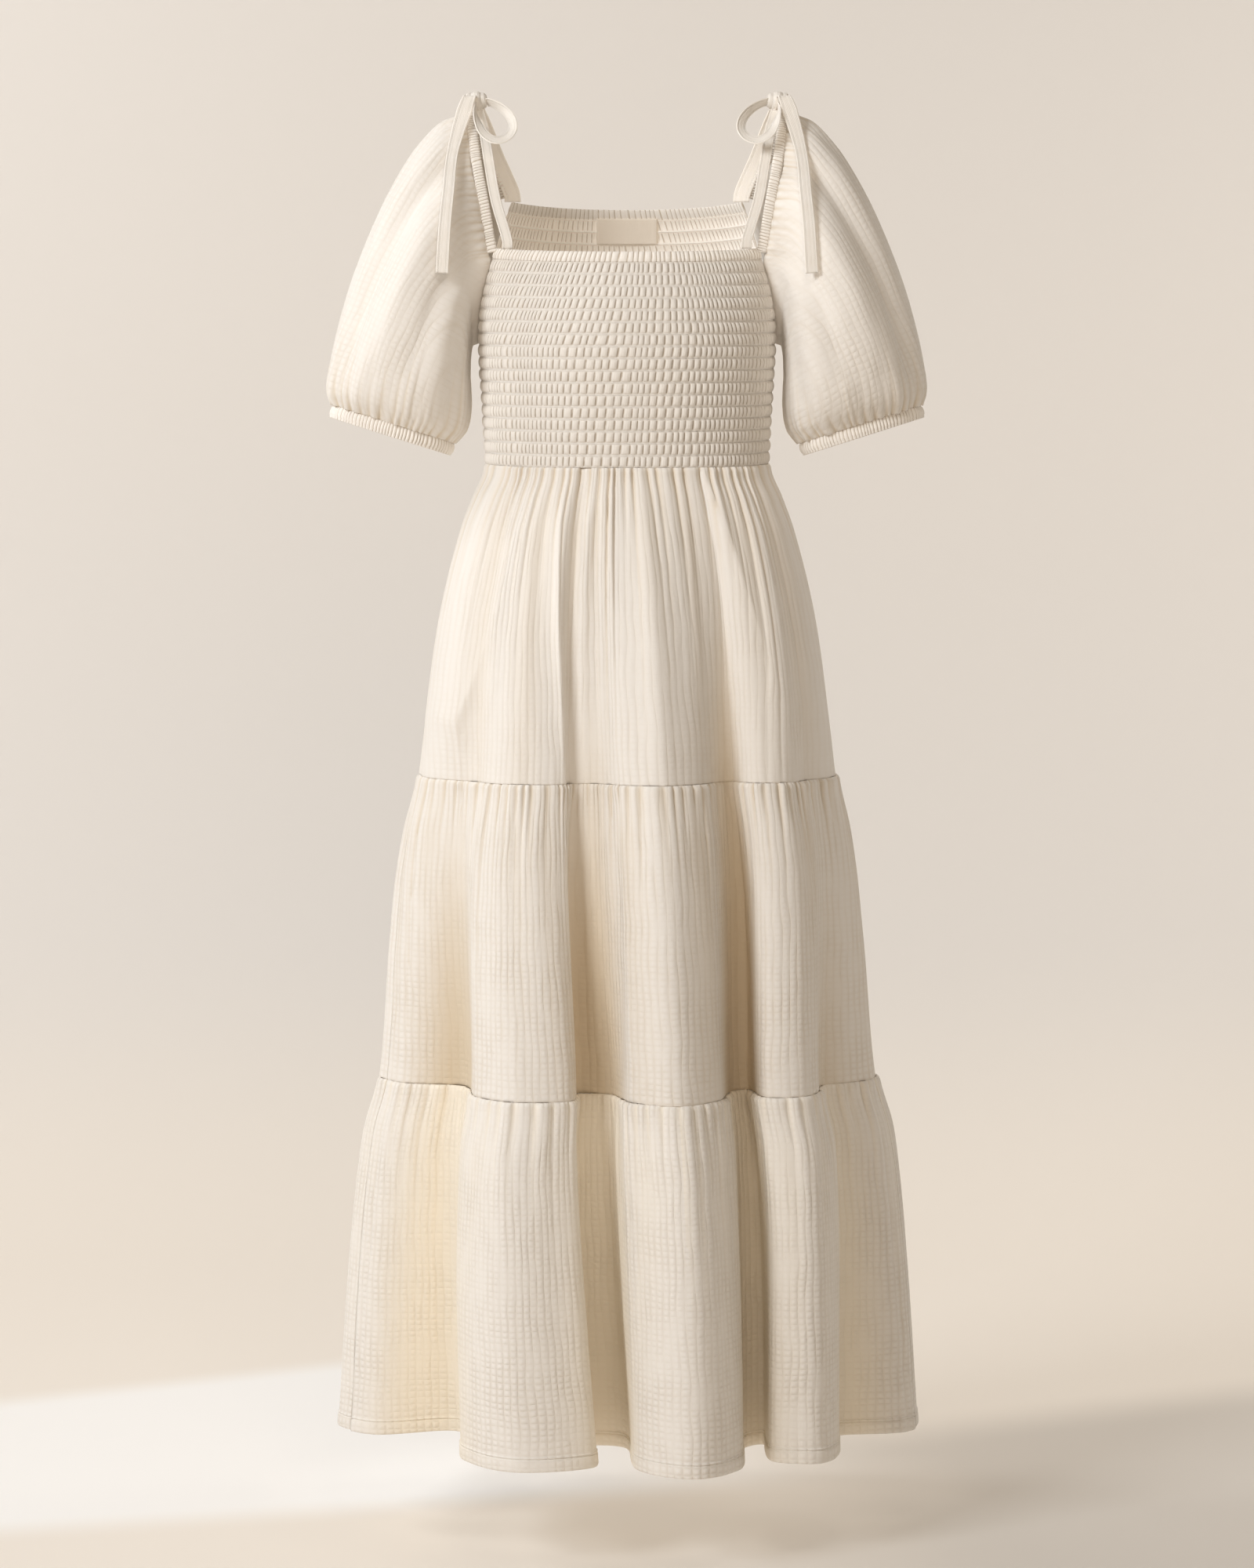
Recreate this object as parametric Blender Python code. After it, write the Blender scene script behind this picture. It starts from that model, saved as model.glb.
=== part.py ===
"""A tiered peasant dress in cream double gauze, standing as it is worn, with nobody in it.

Metres, +Z up, +X to the viewer's right, the front of the dress towards -Y. The origin is midway between the
two shoulder ties, at the height where the wearer's shoulders hold the dress. Left and right are the viewer's.
Heights are negative below the origin. Angles go round the dress from its left side seam by the front.
"""

import math

import bpy
import numpy as np

# Heights
FRONT_TOP, BACK_TOP = -0.1605, -0.1075
UNDERARM, WAIST = -0.2470, -0.3640
SEAM_1, SEAM_2, HEM = -0.6820, -0.9930, -1.3550
ROW_SAG = 0.0060

# Walls and gaps
SEAM_GAP = 0.0003
BODICE_HALF_WALL = 0.0010
SKIRT_HALF_WALL = 0.0010
SLEEVE_HALF_WALL = 0.0008
RAGLAN_GAP = 0.0040
SIDE_RADIUS, RAGLAN_RADIUS = 0.15, 0.14

# Shirring
FRONT_SHIRR_ROWS, BACK_SHIRR_ROWS = 17, 21
FRONT_COLUMNS, BACK_COLUMNS = 32, 24
PUFF_HEIGHT, LOW_PUFF, EDGE_PUFF = 0.0017, 0.45, 0.2
PLAIN_ROWS, PLAIN_COLUMNS = 9, 12
FRONT_CORNER_DEG, BACK_CORNER_DEG = 29.0, 39.5

# Neck bands, straps and ties
BAND_HEIGHT, BAND_HALF_WALL, BAND_PUCKER = 0.0105, 0.0015, 0.0005
TAPE_WIDTH, TAPE_THICKNESS = 0.0106, 0.0016
EDGE_WIDTH, EDGE_THICKNESS, EDGE_RIPPLE = 0.0104, 0.0030, 0.0005
EDGE_STATIONS, EDGE_GAP = 41, 0.0009
TIE_SEAT, FOOT_SEAT, FOOT_RISE = 0.0007, 0.0014, 0.0070
FRONT_FOOT_X, BACK_FOOT_X = 0.1196, 0.1128
KNOT_CENTRE = np.array([0.1530, -0.0020, 0.0002])
KNOT_RADII = np.array([0.0125, 0.0115, 0.0103])
KNOT_COLUMNS, KNOT_RINGS = 12, 7
LABEL_WIDTH, LABEL_HEIGHT, LABEL_TOP = 0.0630, 0.0260, -0.1120
LABEL_DEPTH, LABEL_THICKNESS = 0.0023, 0.0009

# Cuffs
CUFF_HEIGHT, CUFF_HALF_WALL, CUFF_PUCKER = 0.0130, 0.0016, 0.0006

# How square the rings of the body are: 1 is an ellipse, less is squarer
ROUNDNESS = 0.90

# The body of the dress, from the back neckline to the hem: half its width, and its depth in front and behind
BODY_COLUMNS = ("height", "half_width", "front", "back")
BODY_ROWS = (
    (-0.090, 0.149, 0.080, 0.080),
    (-0.150, 0.148, 0.092, 0.096),
    (-0.213, 0.150, 0.113, 0.102),
    (-0.250, 0.149, 0.117, 0.101),
    (-0.300, 0.146, 0.110, 0.094),
    (-0.366, 0.143, 0.100, 0.086),
    (-0.398, 0.155, 0.112, 0.098),
    (-0.430, 0.167, 0.124, 0.110),
    (-0.530, 0.192, 0.150, 0.138),
    (-0.645, 0.208, 0.170, 0.160),
    (-0.682, 0.213, 0.175, 0.166),
    (-0.735, 0.226, 0.186, 0.178),
    (-0.790, 0.236, 0.193, 0.187),
    (-0.856, 0.243, 0.199, 0.194),
    (-0.993, 0.255, 0.207, 0.203),
    (-1.047, 0.270, 0.218, 0.214),
    (-1.114, 0.280, 0.226, 0.222),
    (-1.194, 0.288, 0.231, 0.227),
    (-1.355, 0.299, 0.238, 0.232),
)

# The large folds at the hem, from the left side round by the front. Each row is one lobe and the valley
# after it: where its crest lies, how far it reaches back and on along the hem, where the valley's floor lies
# and half the floor's width. Then where both leave the waist, in degrees, how far down the valley starts and
# its growth.
FOLD_COLUMNS = (
    "crest_x", "crest_y", "reach_back", "reach_on", "valley_x", "valley_y", "floor",
    "crest_deg", "valley_deg", "starts", "growth",
)
FOLD_ROWS = (
    (-0.298, -0.004, 0.045, 0.048, -0.168, -0.050, 0.014, -3, 36, 0.26, 0.8),
    (-0.108, -0.222, 0.070, 0.064, -0.024, -0.098, 0.020, 58, 78, 0.05, 1.2),
    (0.068, -0.247, 0.048, 0.052, 0.128, -0.092, 0.013, 94, 119, 0.00, 0.8),
    (0.192, -0.172, 0.036, 0.042, 0.212, -0.052, 0.010, 137, 153, 0.24, 0.9),
    (0.300, 0.024, 0.050, 0.046, 0.232, 0.092, 0.012, 183, 203, 0.30, 1.0),
    (0.212, 0.172, 0.044, 0.044, 0.150, 0.122, 0.016, 221, 238, 0.06, 1.2),
    (0.098, 0.226, 0.046, 0.040, 0.040, 0.136, 0.017, 252, 264, 0.16, 1.1),
    (-0.024, 0.230, 0.040, 0.044, -0.078, 0.138, 0.017, 276, 291, 0.03, 1.2),
    (-0.132, 0.213, 0.036, 0.038, -0.180, 0.126, 0.014, 304, 318, 0.20, 1.0),
    (-0.232, 0.150, 0.036, 0.034, -0.252, 0.076, 0.011, 330, 343, 0.10, 1.2),
)
LOBE_SHOULDER, LEAST_DROP = 0.30, 0.03
SEAM_LEFT, SEAM_RIGHT = (-0.286, -0.034), (0.292, -0.014)
CURVE_STEPS, RING_SAMPLES = 24, 400
NEXT_TO = 0.0008

# The tiers, each a row of: top, foot, gathers all round, and the height of a gather at the seam, half way
# down and at the foot. The wall's rows lie at shares of the tier's height
TIER_ROWS = (
    (WAIST, SEAM_1, 48, 0.0026, 0.0016, 0.0006),
    (SEAM_1, SEAM_2, 54, 0.0032, 0.0017, 0.0007),
    (SEAM_2, HEM, 62, 0.0036, 0.0018, 0.0006),
)
TIER_LEVELS = (0.0, 0.10, 0.34, 0.68, 1.0)
HEM_TURN, HEM_HALF_WALL = 0.015, 0.0016

# The left sleeve's rings, from the raglan seam to the cuff: the ring's inner point beside the body, its outer
# point on the sleeve's outline, and half its depth from front to back
SLEEVE_COLUMNS = ("inner_x", "inner_z", "outer_x", "outer_z", "half_depth")
SLEEVE_ROWS = (
    (0.1515, -0.2425, 0.1630, -0.0124, 0.052),
    (0.1585, -0.2450, 0.1850, -0.0190, 0.064),
    (0.1605, -0.2620, 0.2100, -0.0430, 0.078),
    (0.1605, -0.2760, 0.2390, -0.0900, 0.088),
    (0.1595, -0.2900, 0.2640, -0.1460, 0.091),
    (0.1590, -0.3030, 0.2840, -0.2030, 0.088),
    (0.1600, -0.3160, 0.2970, -0.2550, 0.080),
    (0.1640, -0.3300, 0.3020, -0.2880, 0.067),
    (0.1770, -0.3440, 0.2970, -0.3060, 0.047),
)
SLEEVE_GATHERS = 18
SLEEVE_GATHER_HEIGHTS = (0.0016, 0.0022, 0.0020, 0.0018, 0.0018, 0.0020, 0.0024, 0.0030, 0.0026)
LOOP_PULL = 2.2
FRONT_CORNER_COLUMN, SHOULDER_COLUMN, BACK_CORNER_COLUMN = 8, 17, 25
CORNER_SHARE = 0.3

# Routes on the left shoulder, with x outwards: the ruched neckline edge, the straps, the loop and the tail
EDGE_ROUTE = (
    (0.1360, -0.0490, -0.1490),
    (0.1440, -0.0450, -0.1020),
    (0.1518, -0.0330, -0.0600),
    (0.1562, -0.0160, -0.0280),
    (0.1575, 0.0000, -0.0125),
    (0.1540, 0.0180, -0.0250),
    (0.1440, 0.0380, -0.0530),
    (0.1262, 0.0545, -0.0925),
)
FRONT_STRAP_ROUTE = (
    (0.1316, -0.0458, -0.1020),
    (0.1392, -0.0330, -0.0600),
    (0.1442, -0.0200, -0.0300),
)
BACK_STRAP_ROUTE = (
    (0.1318, 0.0395, -0.0500),
    (0.1418, 0.0195, -0.0230),
)
LOOP_ROUTE = (
    (0.1390, -0.0070, -0.0010),
    (0.1250, -0.0160, -0.0090),
    (0.1160, -0.0260, -0.0205),
    (0.1150, -0.0340, -0.0310),
    (0.1215, -0.0410, -0.0395),
    (0.1320, -0.0440, -0.0420),
    (0.1425, -0.0410, -0.0360),
    (0.1490, -0.0330, -0.0250),
    (0.1525, -0.0220, -0.0130),
)
LOOP_TILT, LOOP_TURN_FROM = 0.45, 0.6
LOOP_STATIONS, STRAP_STATIONS, TAIL_STATIONS = 22, 9, 13
TAIL_START, TAIL_RISE = (0.1580, -0.0160, 0.0040), 0.0045
TAIL_ROUTE = (
    (0.1660, -0.0180),
    (0.1750, -0.0560),
    (0.1780, -0.0950),
    (0.1810, -0.1300),
    (0.1838, -0.1770),
)
TAIL_CLEARANCE, TAIL_END_WIDTH, TAIL_SEARCH = 0.0045, 0.0130, 0.022

CREAM = (0.86, 0.80, 0.72)
CREAM_TAPE = (0.88, 0.83, 0.75)
LABEL_CREAM = (0.80, 0.72, 0.62)


def table(columns, rows):
    """The rows' values by the names of their columns."""
    return dict(zip(columns, np.array(rows, float).T))


BODY = table(BODY_COLUMNS, BODY_ROWS)
FOLDS = table(FOLD_COLUMNS, FOLD_ROWS)
SLEEVE = table(SLEEVE_COLUMNS, SLEEVE_ROWS)


def eased(x, xs, ys):
    """A smooth curve through (xs, ys) that never overshoots its points, read at x."""
    xs, ys = np.asarray(xs, float), np.asarray(ys, float)
    if xs[0] > xs[-1]:
        xs, ys = xs[::-1], ys[::-1]
    step, slope = np.diff(xs), np.diff(ys) / np.diff(xs)
    tangent = np.concatenate([[slope[0]], np.zeros(len(xs) - 2), [slope[-1]]])
    same = slope[:-1] * slope[1:] > 0
    share = 3 * (step[:-1] + step[1:])
    first, second = (2 * step[1:] + step[:-1]) / share, (step[1:] + 2 * step[:-1]) / share
    safe = np.where(same, slope[:-1], 1.0), np.where(same, slope[1:], 1.0)
    tangent[1:-1] = np.where(same, 1 / (first / safe[0] + second / safe[1]), 0.0)
    x = np.clip(np.asarray(x, float), xs[0], xs[-1])
    i = np.clip(np.searchsorted(xs, x) - 1, 0, len(xs) - 2)
    t = (x - xs[i]) / step[i]
    return (
        (2 * t**3 - 3 * t**2 + 1) * ys[i]
        + (t**3 - 2 * t**2 + t) * step[i] * tangent[i]
        + (3 * t**2 - 2 * t**3) * ys[i + 1]
        + (t**3 - t**2) * step[i] * tangent[i + 1]
    )


def flowing(points, steps, closed=False):
    """A smooth curve through the points: its samples, and the index of each point among them."""
    points = np.asarray(points, float)
    count = len(points)
    if closed:
        before, after = np.roll(points, 1, axis=0), np.roll(points, -1, axis=0)
    else:
        before = np.vstack([2 * points[0] - points[1], points[:-1]])
        after = np.vstack([points[1:], 2 * points[-1] - points[-2]])
    near = np.sqrt(np.linalg.norm(points - before, axis=1))[:, None]
    far = np.sqrt(np.linalg.norm(after - points, axis=1))[:, None]
    tangent = (points - before) / near - (after - before) / (near + far) + (after - points) / far
    spans = count if closed else count - 1
    t = np.linspace(0, 1, steps, endpoint=False)[:, None]
    samples = []
    for i in range(spans):
        j = (i + 1) % count
        samples.append(
            (2 * t**3 - 3 * t**2 + 1) * points[i]
            + (t**3 - 2 * t**2 + t) * far[i] * tangent[i]
            + (3 * t**2 - 2 * t**3) * points[j]
            + (t**3 - t**2) * far[i] * tangent[j]
        )
    if not closed:
        samples.append(points[-1:])
    return np.vstack(samples), np.arange(count) * steps


def evenly(curve, count):
    """The open curve's points read again at even distances."""
    run = np.concatenate([[0], np.cumsum(np.linalg.norm(np.diff(curve, axis=0), axis=1))])
    at = np.linspace(0, run[-1], count)
    return np.stack([np.interp(at, run, axis) for axis in curve.T], axis=1)


def body_xy(angle, height):
    """The body's ring at a height, without folds: its point and its outward normal, in plan."""
    angle, height = np.broadcast_arrays(np.asarray(angle, float), np.asarray(height, float))
    across = -np.cos(angle)
    forth = -np.sin(angle)
    half = eased(height, BODY["height"], BODY["half_width"])
    before, behind = (eased(height, BODY["height"], BODY[side]) for side in ("front", "back"))
    depth = np.where(forth < 0, before, behind)
    x = half * np.sign(across) * np.abs(across) ** ROUNDNESS
    y = depth * np.sign(forth) * np.abs(forth) ** ROUNDNESS
    steep = 2 / ROUNDNESS - 1
    normal = np.stack(
        [
            np.sign(x) * np.abs(x / half) ** steep / half,
            np.sign(y) * np.abs(y / depth) ** steep / depth,
        ],
        axis=-1,
    )
    normal /= np.linalg.norm(normal, axis=-1, keepdims=True)
    return np.stack([x, y], axis=-1), normal


class Meshed:
    """Points and outward-facing triangles of one closed piece."""

    def __init__(self):
        self.points, self.faces, self.count = [], [], 0

    def add(self, grid):
        """Adds a grid of points and returns the grid of their numbers."""
        numbers = self.count + np.arange(grid.shape[0] * grid.shape[1]).reshape(grid.shape[:2])
        self.points.append(grid.reshape(-1, 3))
        self.count += numbers.size
        return numbers

    def skin(self, numbers, outwards, wrap=False):
        """Faces a grid whose rows run down and whose columns run round by the front."""
        if wrap:
            numbers = np.hstack([numbers, numbers[:, :1]])
        a, b = numbers[:-1, :-1].ravel(), numbers[1:, :-1].ravel()
        c, d = numbers[1:, 1:].ravel(), numbers[:-1, 1:].ravel()
        for corners in ((a, b, c), (a, c, d)):
            found = np.stack(corners, axis=1)
            self.faces.append(found if outwards else found[:, ::-1])

    def zip(self, outer, outer_at, inner, inner_at):
        """Closes the wall along one side, where outer and inner points lie at other shares of its length."""
        i = j = 0
        found = []
        while i < len(outer) - 1 or j < len(inner) - 1:
            outer_next = outer_at[i + 1] if i < len(outer) - 1 else 2.0
            inner_next = inner_at[j + 1] if j < len(inner) - 1 else 2.0
            if outer_next <= inner_next:
                found.append((outer[i], outer[i + 1], inner[j]))
                i += 1
            else:
                found.append((outer[i], inner[j + 1], inner[j]))
                j += 1
        self.faces.append(np.array(found))

    def sides(self, outer, outer_rows, outer_columns, inner, inner_rows, inner_columns):
        """Closes an open wall along its top, its right, its foot and its left."""
        self.zip(outer[0], outer_columns, inner[0], inner_columns)
        self.zip(outer[:, -1], outer_rows, inner[:, -1], inner_rows)
        self.zip(outer[-1, ::-1], outer_columns, inner[-1, ::-1], inner_columns)
        self.zip(outer[::-1, 0], outer_rows, inner[::-1, 0], inner_rows)

    def place(self, name, finish, mirrored=False):
        """Makes the object. Mirrored, it stands on the other side of the dress."""
        points, faces = np.vstack(self.points), np.vstack(self.faces)
        if mirrored:
            points, faces = points * (-1, 1, 1), faces[:, ::-1]
        mesh = bpy.data.meshes.new(name)
        mesh.from_pydata(points.tolist(), [], faces.tolist())
        mesh.materials.append(finish)
        mesh.shade_smooth()
        mesh.set_sharp_from_angle(angle=math.radians(50))
        piece = bpy.data.objects.new(name, mesh)
        bpy.context.scene.collection.objects.link(piece)
        return piece


def wall(outer, inner, wrap=False):
    """A wall between two grids of the same size, open or closed round on itself."""
    made = Meshed()
    out, within = made.add(outer), made.add(inner)
    made.skin(out, True, wrap)
    made.skin(within, False, wrap)
    rows, columns = np.linspace(0, 1, outer.shape[0]), np.linspace(0, 1, outer.shape[1])
    if wrap:
        out, within = np.hstack([out, out[:, :1]]), np.hstack([within, within[:, :1]])
        columns = np.linspace(0, 1, outer.shape[1] + 1)
        made.zip(out[0], columns, within[0], columns)
        made.zip(out[-1, ::-1], columns, within[-1, ::-1], columns)
    else:
        made.sides(out, rows, columns, within, rows, columns)
    return made


def raglan_angle(height, corner_deg, corner_height):
    """How far from the side seam the raglan seam lies at a height."""
    share = np.clip((height - UNDERARM) / (corner_height - UNDERARM), 0, 1)
    return math.radians(corner_deg) * share


class Bodice:
    """One shirred half of the bodice, and the grid of places that its band and label share."""

    def __init__(self, behind, top, corner_deg):
        self.behind, self.top, self.corner_deg = behind, top, corner_deg
        self.corner_height = top + BAND_HEIGHT

    def at(self, across, height, out):
        """Points at a share of the way across, at a height at the side edge, and a distance outwards."""
        across, height = np.broadcast_arrays(np.asarray(across, float), np.asarray(height, float))
        edge = raglan_angle(height, self.corner_deg, self.corner_height)
        edge = np.maximum(edge, SEAM_GAP / 2 / SIDE_RADIUS)
        angle = edge + (math.pi - 2 * edge) * across + (math.pi if self.behind else 0.0)
        sagged = height - ROW_SAG * (1 - (2 * across - 1) ** 2)
        plan, normal = body_xy(angle, sagged)
        return np.concatenate([plan + normal * np.asarray(out)[..., None], sagged[..., None]], axis=-1)

    def shirred(self, rows, columns):
        """The wall: puffs between the elastic rows on its outside, plain within."""
        down, across = np.linspace(0, 1, 2 * rows + 1), np.linspace(0, 1, columns + 1)
        line, column = np.meshgrid(np.arange(len(down)), np.arange(len(across)), indexing="ij")
        low = (line // 2 + column) % 2 == 1
        puff = np.where(line % 2 == 1, PUFF_HEIGHT * np.where(low, LOW_PUFF, 1.0), 0.0)
        puff[:, [0, -1]] *= EDGE_PUFF
        heights = self.top + (WAIST - self.top) * down
        outer = self.at(across[None, :], heights[:, None], BODICE_HALF_WALL + puff)
        plain_down, plain_across = np.linspace(0, 1, PLAIN_ROWS), np.linspace(0, 1, PLAIN_COLUMNS + 1)
        underarm = (UNDERARM - self.top) / (WAIST - self.top)
        plain_down[np.argmin(abs(plain_down - underarm))] = underarm
        plain = self.top + (WAIST - self.top) * plain_down
        inset = np.full((PLAIN_ROWS, PLAIN_COLUMNS + 1), -BODICE_HALF_WALL)
        inner = self.at(plain_across[None, :], plain[:, None], inset)
        made = Meshed()
        out, within = made.add(outer), made.add(inner)
        made.skin(out, True)
        made.skin(within, False)
        made.sides(out, down, across, within, plain_down, plain_across)
        return made

    def band(self, columns):
        """The elastic casing above the shirring, with small puckers on its outside."""
        across = np.linspace(0, 1, columns + 1)[None, :]
        heights = np.array([self.top + BAND_HEIGHT, self.top + SEAM_GAP])[:, None]
        pucker = BAND_PUCKER * (np.arange(columns + 1) % 2)[None, :]
        outer = self.at(across, heights, BAND_HALF_WALL + pucker + 0 * heights)
        inner = self.at(across, heights, -BAND_HALF_WALL + 0 * across + 0 * heights)
        return wall(outer, inner)

    def strap_foot(self, x):
        """The place on top of the band where a strap is sewn on, with the point that its path rises to."""
        across = np.linspace(0.0, 0.5, RING_SAMPLES) + (0.0 if self.behind else 0.5)
        top = self.at(across, self.corner_height, 0 * across)
        place = top[np.argmin(np.abs(top[:, 0] - x))]
        return np.array([place + (0, 0, FOOT_SEAT), place + (0, 0, FOOT_SEAT + FOOT_RISE)])

    def label(self):
        """The blank label on the inside, from the panel's own points, moved in."""
        heights = np.linspace(LABEL_TOP, LABEL_TOP - LABEL_HEIGHT, 3)[:, None] + ROW_SAG
        edge = raglan_angle(heights, self.corner_deg, self.corner_height)
        half = eased(heights, BODY["height"], BODY["half_width"])
        x = LABEL_WIDTH / 2 * np.linspace(-1, 1, 5)[None, :]
        turn = np.sign(x) * np.arcsin(np.abs(x / half) ** (1 / ROUNDNESS))
        across = 0.5 + turn / (math.pi - 2 * edge)
        lying = -BODICE_HALF_WALL - LABEL_DEPTH + 0 * across
        return wall(self.at(across, heights, lying + LABEL_THICKNESS), self.at(across, heights, lying))


class Skirt:
    """The skirt's folds: a smooth closed line at the hem that grows from the plain ring of the waist."""

    def __init__(self):
        self.samples, self.rows_at = self.hem_line()
        self.cut_at_seams()

    def hem_line(self):
        """The hem's closed line, with where its crests and its valley floors lie along it."""
        points = []
        half, front, back = BODY["half_width"][-1], BODY["front"][-1], BODY["back"][-1]
        for i in range(len(FOLDS["crest_x"])):
            crest = np.array([FOLDS["crest_x"][i], FOLDS["crest_y"][i]])
            floor = np.array([FOLDS["valley_x"][i], FOLDS["valley_y"][i]])
            out, along = self.facing(crest, half, front, back)
            floor_out, floor_along = self.facing(floor, half, front, back)
            drop = LOBE_SHOULDER * max(np.dot(crest - floor, out), LEAST_DROP)
            points += [
                crest - along * FOLDS["reach_back"][i] - out * drop,
                crest,
                crest + along * FOLDS["reach_on"][i] - out * drop,
                floor - floor_along * FOLDS["floor"][i],
                floor + floor_along * FOLDS["floor"][i],
            ]
        samples, at = flowing(points, CURVE_STEPS, closed=True)
        crests, floors = at[1::5], (at[3::5] + at[4::5]) // 2
        return samples, (crests, floors)

    @staticmethod
    def facing(point, half, front, back):
        """The directions out of the body and on round it, at a point in plan."""
        depth = front if point[1] < 0 else back
        out = np.array([point[0] / half**2, point[1] / depth**2])
        out /= np.linalg.norm(out)
        return out, np.array([-out[1], out[0]])

    def cut_at_seams(self):
        """Shares of the way round, 0 at the left side seam and 0.5 at the right one."""
        line = self.samples
        left = int(np.argmin(np.linalg.norm(line - SEAM_LEFT, axis=1)))
        line = np.roll(line, -left, axis=0)
        right = int(np.argmin(np.linalg.norm(line - SEAM_RIGHT, axis=1)))
        closed = np.vstack([line, line[:1]])
        run = np.concatenate([[0], np.cumsum(np.linalg.norm(np.diff(closed, axis=0), axis=1))])
        before, behind = run / run[right], (run - run[right]) / (run[-1] - run[right])
        share = np.where(run <= run[right], 0.5 * before, 0.5 + 0.5 * behind)
        self.line, self.share = closed, share
        crests, floors = ((at - left) % len(line) for at in self.rows_at)
        known = [(0.0, 0.0), (0.5, math.pi)]
        grown = []
        for i in range(len(crests)):
            for at, degrees in ((crests[i], FOLDS["crest_deg"][i]), (floors[i], FOLDS["valley_deg"][i])):
                known.append((share[at], math.radians(degrees % 360)))
                grown.append((share[at], FOLDS["starts"][i], FOLDS["growth"][i]))
        known.sort()
        grown.sort()
        self.known = np.array(known + [(1.0, 2 * math.pi)])
        grown = np.array(grown)
        lapped = np.vstack([grown[-1:] - (1, 0, 0), grown, grown[:1] + (1, 0, 0)])
        self.grown = lapped

    def plan(self, share, height):
        """The wall's middle in plan at a share of the way round, with its outward normal."""
        share = np.asarray(share, float)
        ring = self.smooth(share, height)
        along = self.smooth(share + NEXT_TO, height) - self.smooth(share - NEXT_TO, height)
        along /= np.linalg.norm(along, axis=-1, keepdims=True)
        return ring, np.stack([along[..., 1], -along[..., 0]], axis=-1)

    def smooth(self, share, height):
        """The ring with its large folds, before gathers: the waist's plain ring grows into the hem's line."""
        share = np.mod(share, 1.0)
        angle = eased(share, self.known[:, 0], self.known[:, 1])
        ring, _ = body_xy(angle, height)
        base, _ = body_xy(angle, HEM)
        hem = np.stack([np.interp(share, self.share, axis) for axis in self.line.T], axis=-1)
        starts = np.interp(share, self.grown[:, 0], self.grown[:, 1])
        growth = np.interp(share, self.grown[:, 0], self.grown[:, 2])
        down = np.clip((WAIST - height - starts) / (WAIST - HEM - starts), 0, 1) ** growth
        return ring + (hem - base) * down[..., None]

    def sag(self, share, height):
        """How far the waist's line hangs below its ends, fading down the first tier."""
        half = np.mod(eased(np.mod(share, 1.0), self.known[:, 0], self.known[:, 1]) / math.pi, 1.0)
        fade = np.clip((height - SEAM_1) / (WAIST - SEAM_1), 0, 1)
        return ROW_SAG * (1 - (2 * half - 1) ** 2) * fade

    def perimeter(self, height):
        ring = self.smooth(np.linspace(0, 1, RING_SAMPLES), np.full(RING_SAMPLES, height))
        return float(np.linalg.norm(np.diff(ring, axis=0), axis=1).sum())

    def tier(self, top, foot, gathers, at_seam, half_way, at_foot, behind):
        """One tier's front or back: two columns to a gather, crest and dip."""
        last = foot == HEM
        levels = [top + (foot - top) * share for share in TIER_LEVELS]
        levels[0] = top - SEAM_GAP
        if last:
            levels[-1:] = [HEM + HEM_TURN, HEM]
        columns = int(gathers)
        outer, inner = [], []
        for height in levels:
            share = np.linspace(0, 0.5, columns + 1)
            trim = SEAM_GAP / 2 / self.perimeter(height)
            share[0] += trim
            share[-1] -= trim
            share = share + (0.5 if behind else 0.0)
            plan, normal = self.plan(share, np.full(share.shape, height))
            down = (top - height) / (top - foot)
            tall = np.interp(down, (0, 0.5, 1), (at_seam, half_way, at_foot))
            wave = tall * np.where(np.arange(columns + 1) % 2 == 0, 1.0, -1.0)
            half_wall = HEM_HALF_WALL if last and height <= HEM + HEM_TURN else SKIRT_HALF_WALL
            z = (height - self.sag(share, height))[:, None]
            outer.append(np.hstack([plan + normal * (wave + half_wall)[:, None], z]))
            inner.append(np.hstack([plan + normal * (wave - half_wall)[:, None], z]))
        return wall(np.array(outer), np.array(inner))


def framed(path, across):
    """The directions along, across and out of a flat strip that follows a path."""
    along = np.gradient(path, axis=0)
    along /= np.linalg.norm(along, axis=1, keepdims=True)
    across = np.broadcast_to(across, path.shape)
    across = across - along * (across * along).sum(axis=1, keepdims=True)
    across = across / np.linalg.norm(across, axis=1, keepdims=True)
    return along, across, np.cross(along, across)


def strip(path, across, width, thickness):
    """A flat strip of tape along a path."""
    _, across, out = framed(path, across)
    width = np.broadcast_to(width, len(path))[:, None, None]
    thickness = np.broadcast_to(thickness, len(path))[:, None, None]
    spread = across[:, None, :] * np.array([-0.5, 0.5])[None, :, None] * width
    middle = path[:, None, :] + spread
    lift = out[:, None, :] * thickness / 2
    return wall(middle + lift, middle - lift)


def seat_on_knot(towards):
    """The point just clear of the knot, in the direction of another point."""
    ray = np.asarray(towards, float) - KNOT_CENTRE
    reach = 1 / np.linalg.norm(ray / KNOT_RADII)
    return KNOT_CENTRE + ray * (reach + TIE_SEAT / np.linalg.norm(ray))


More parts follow.
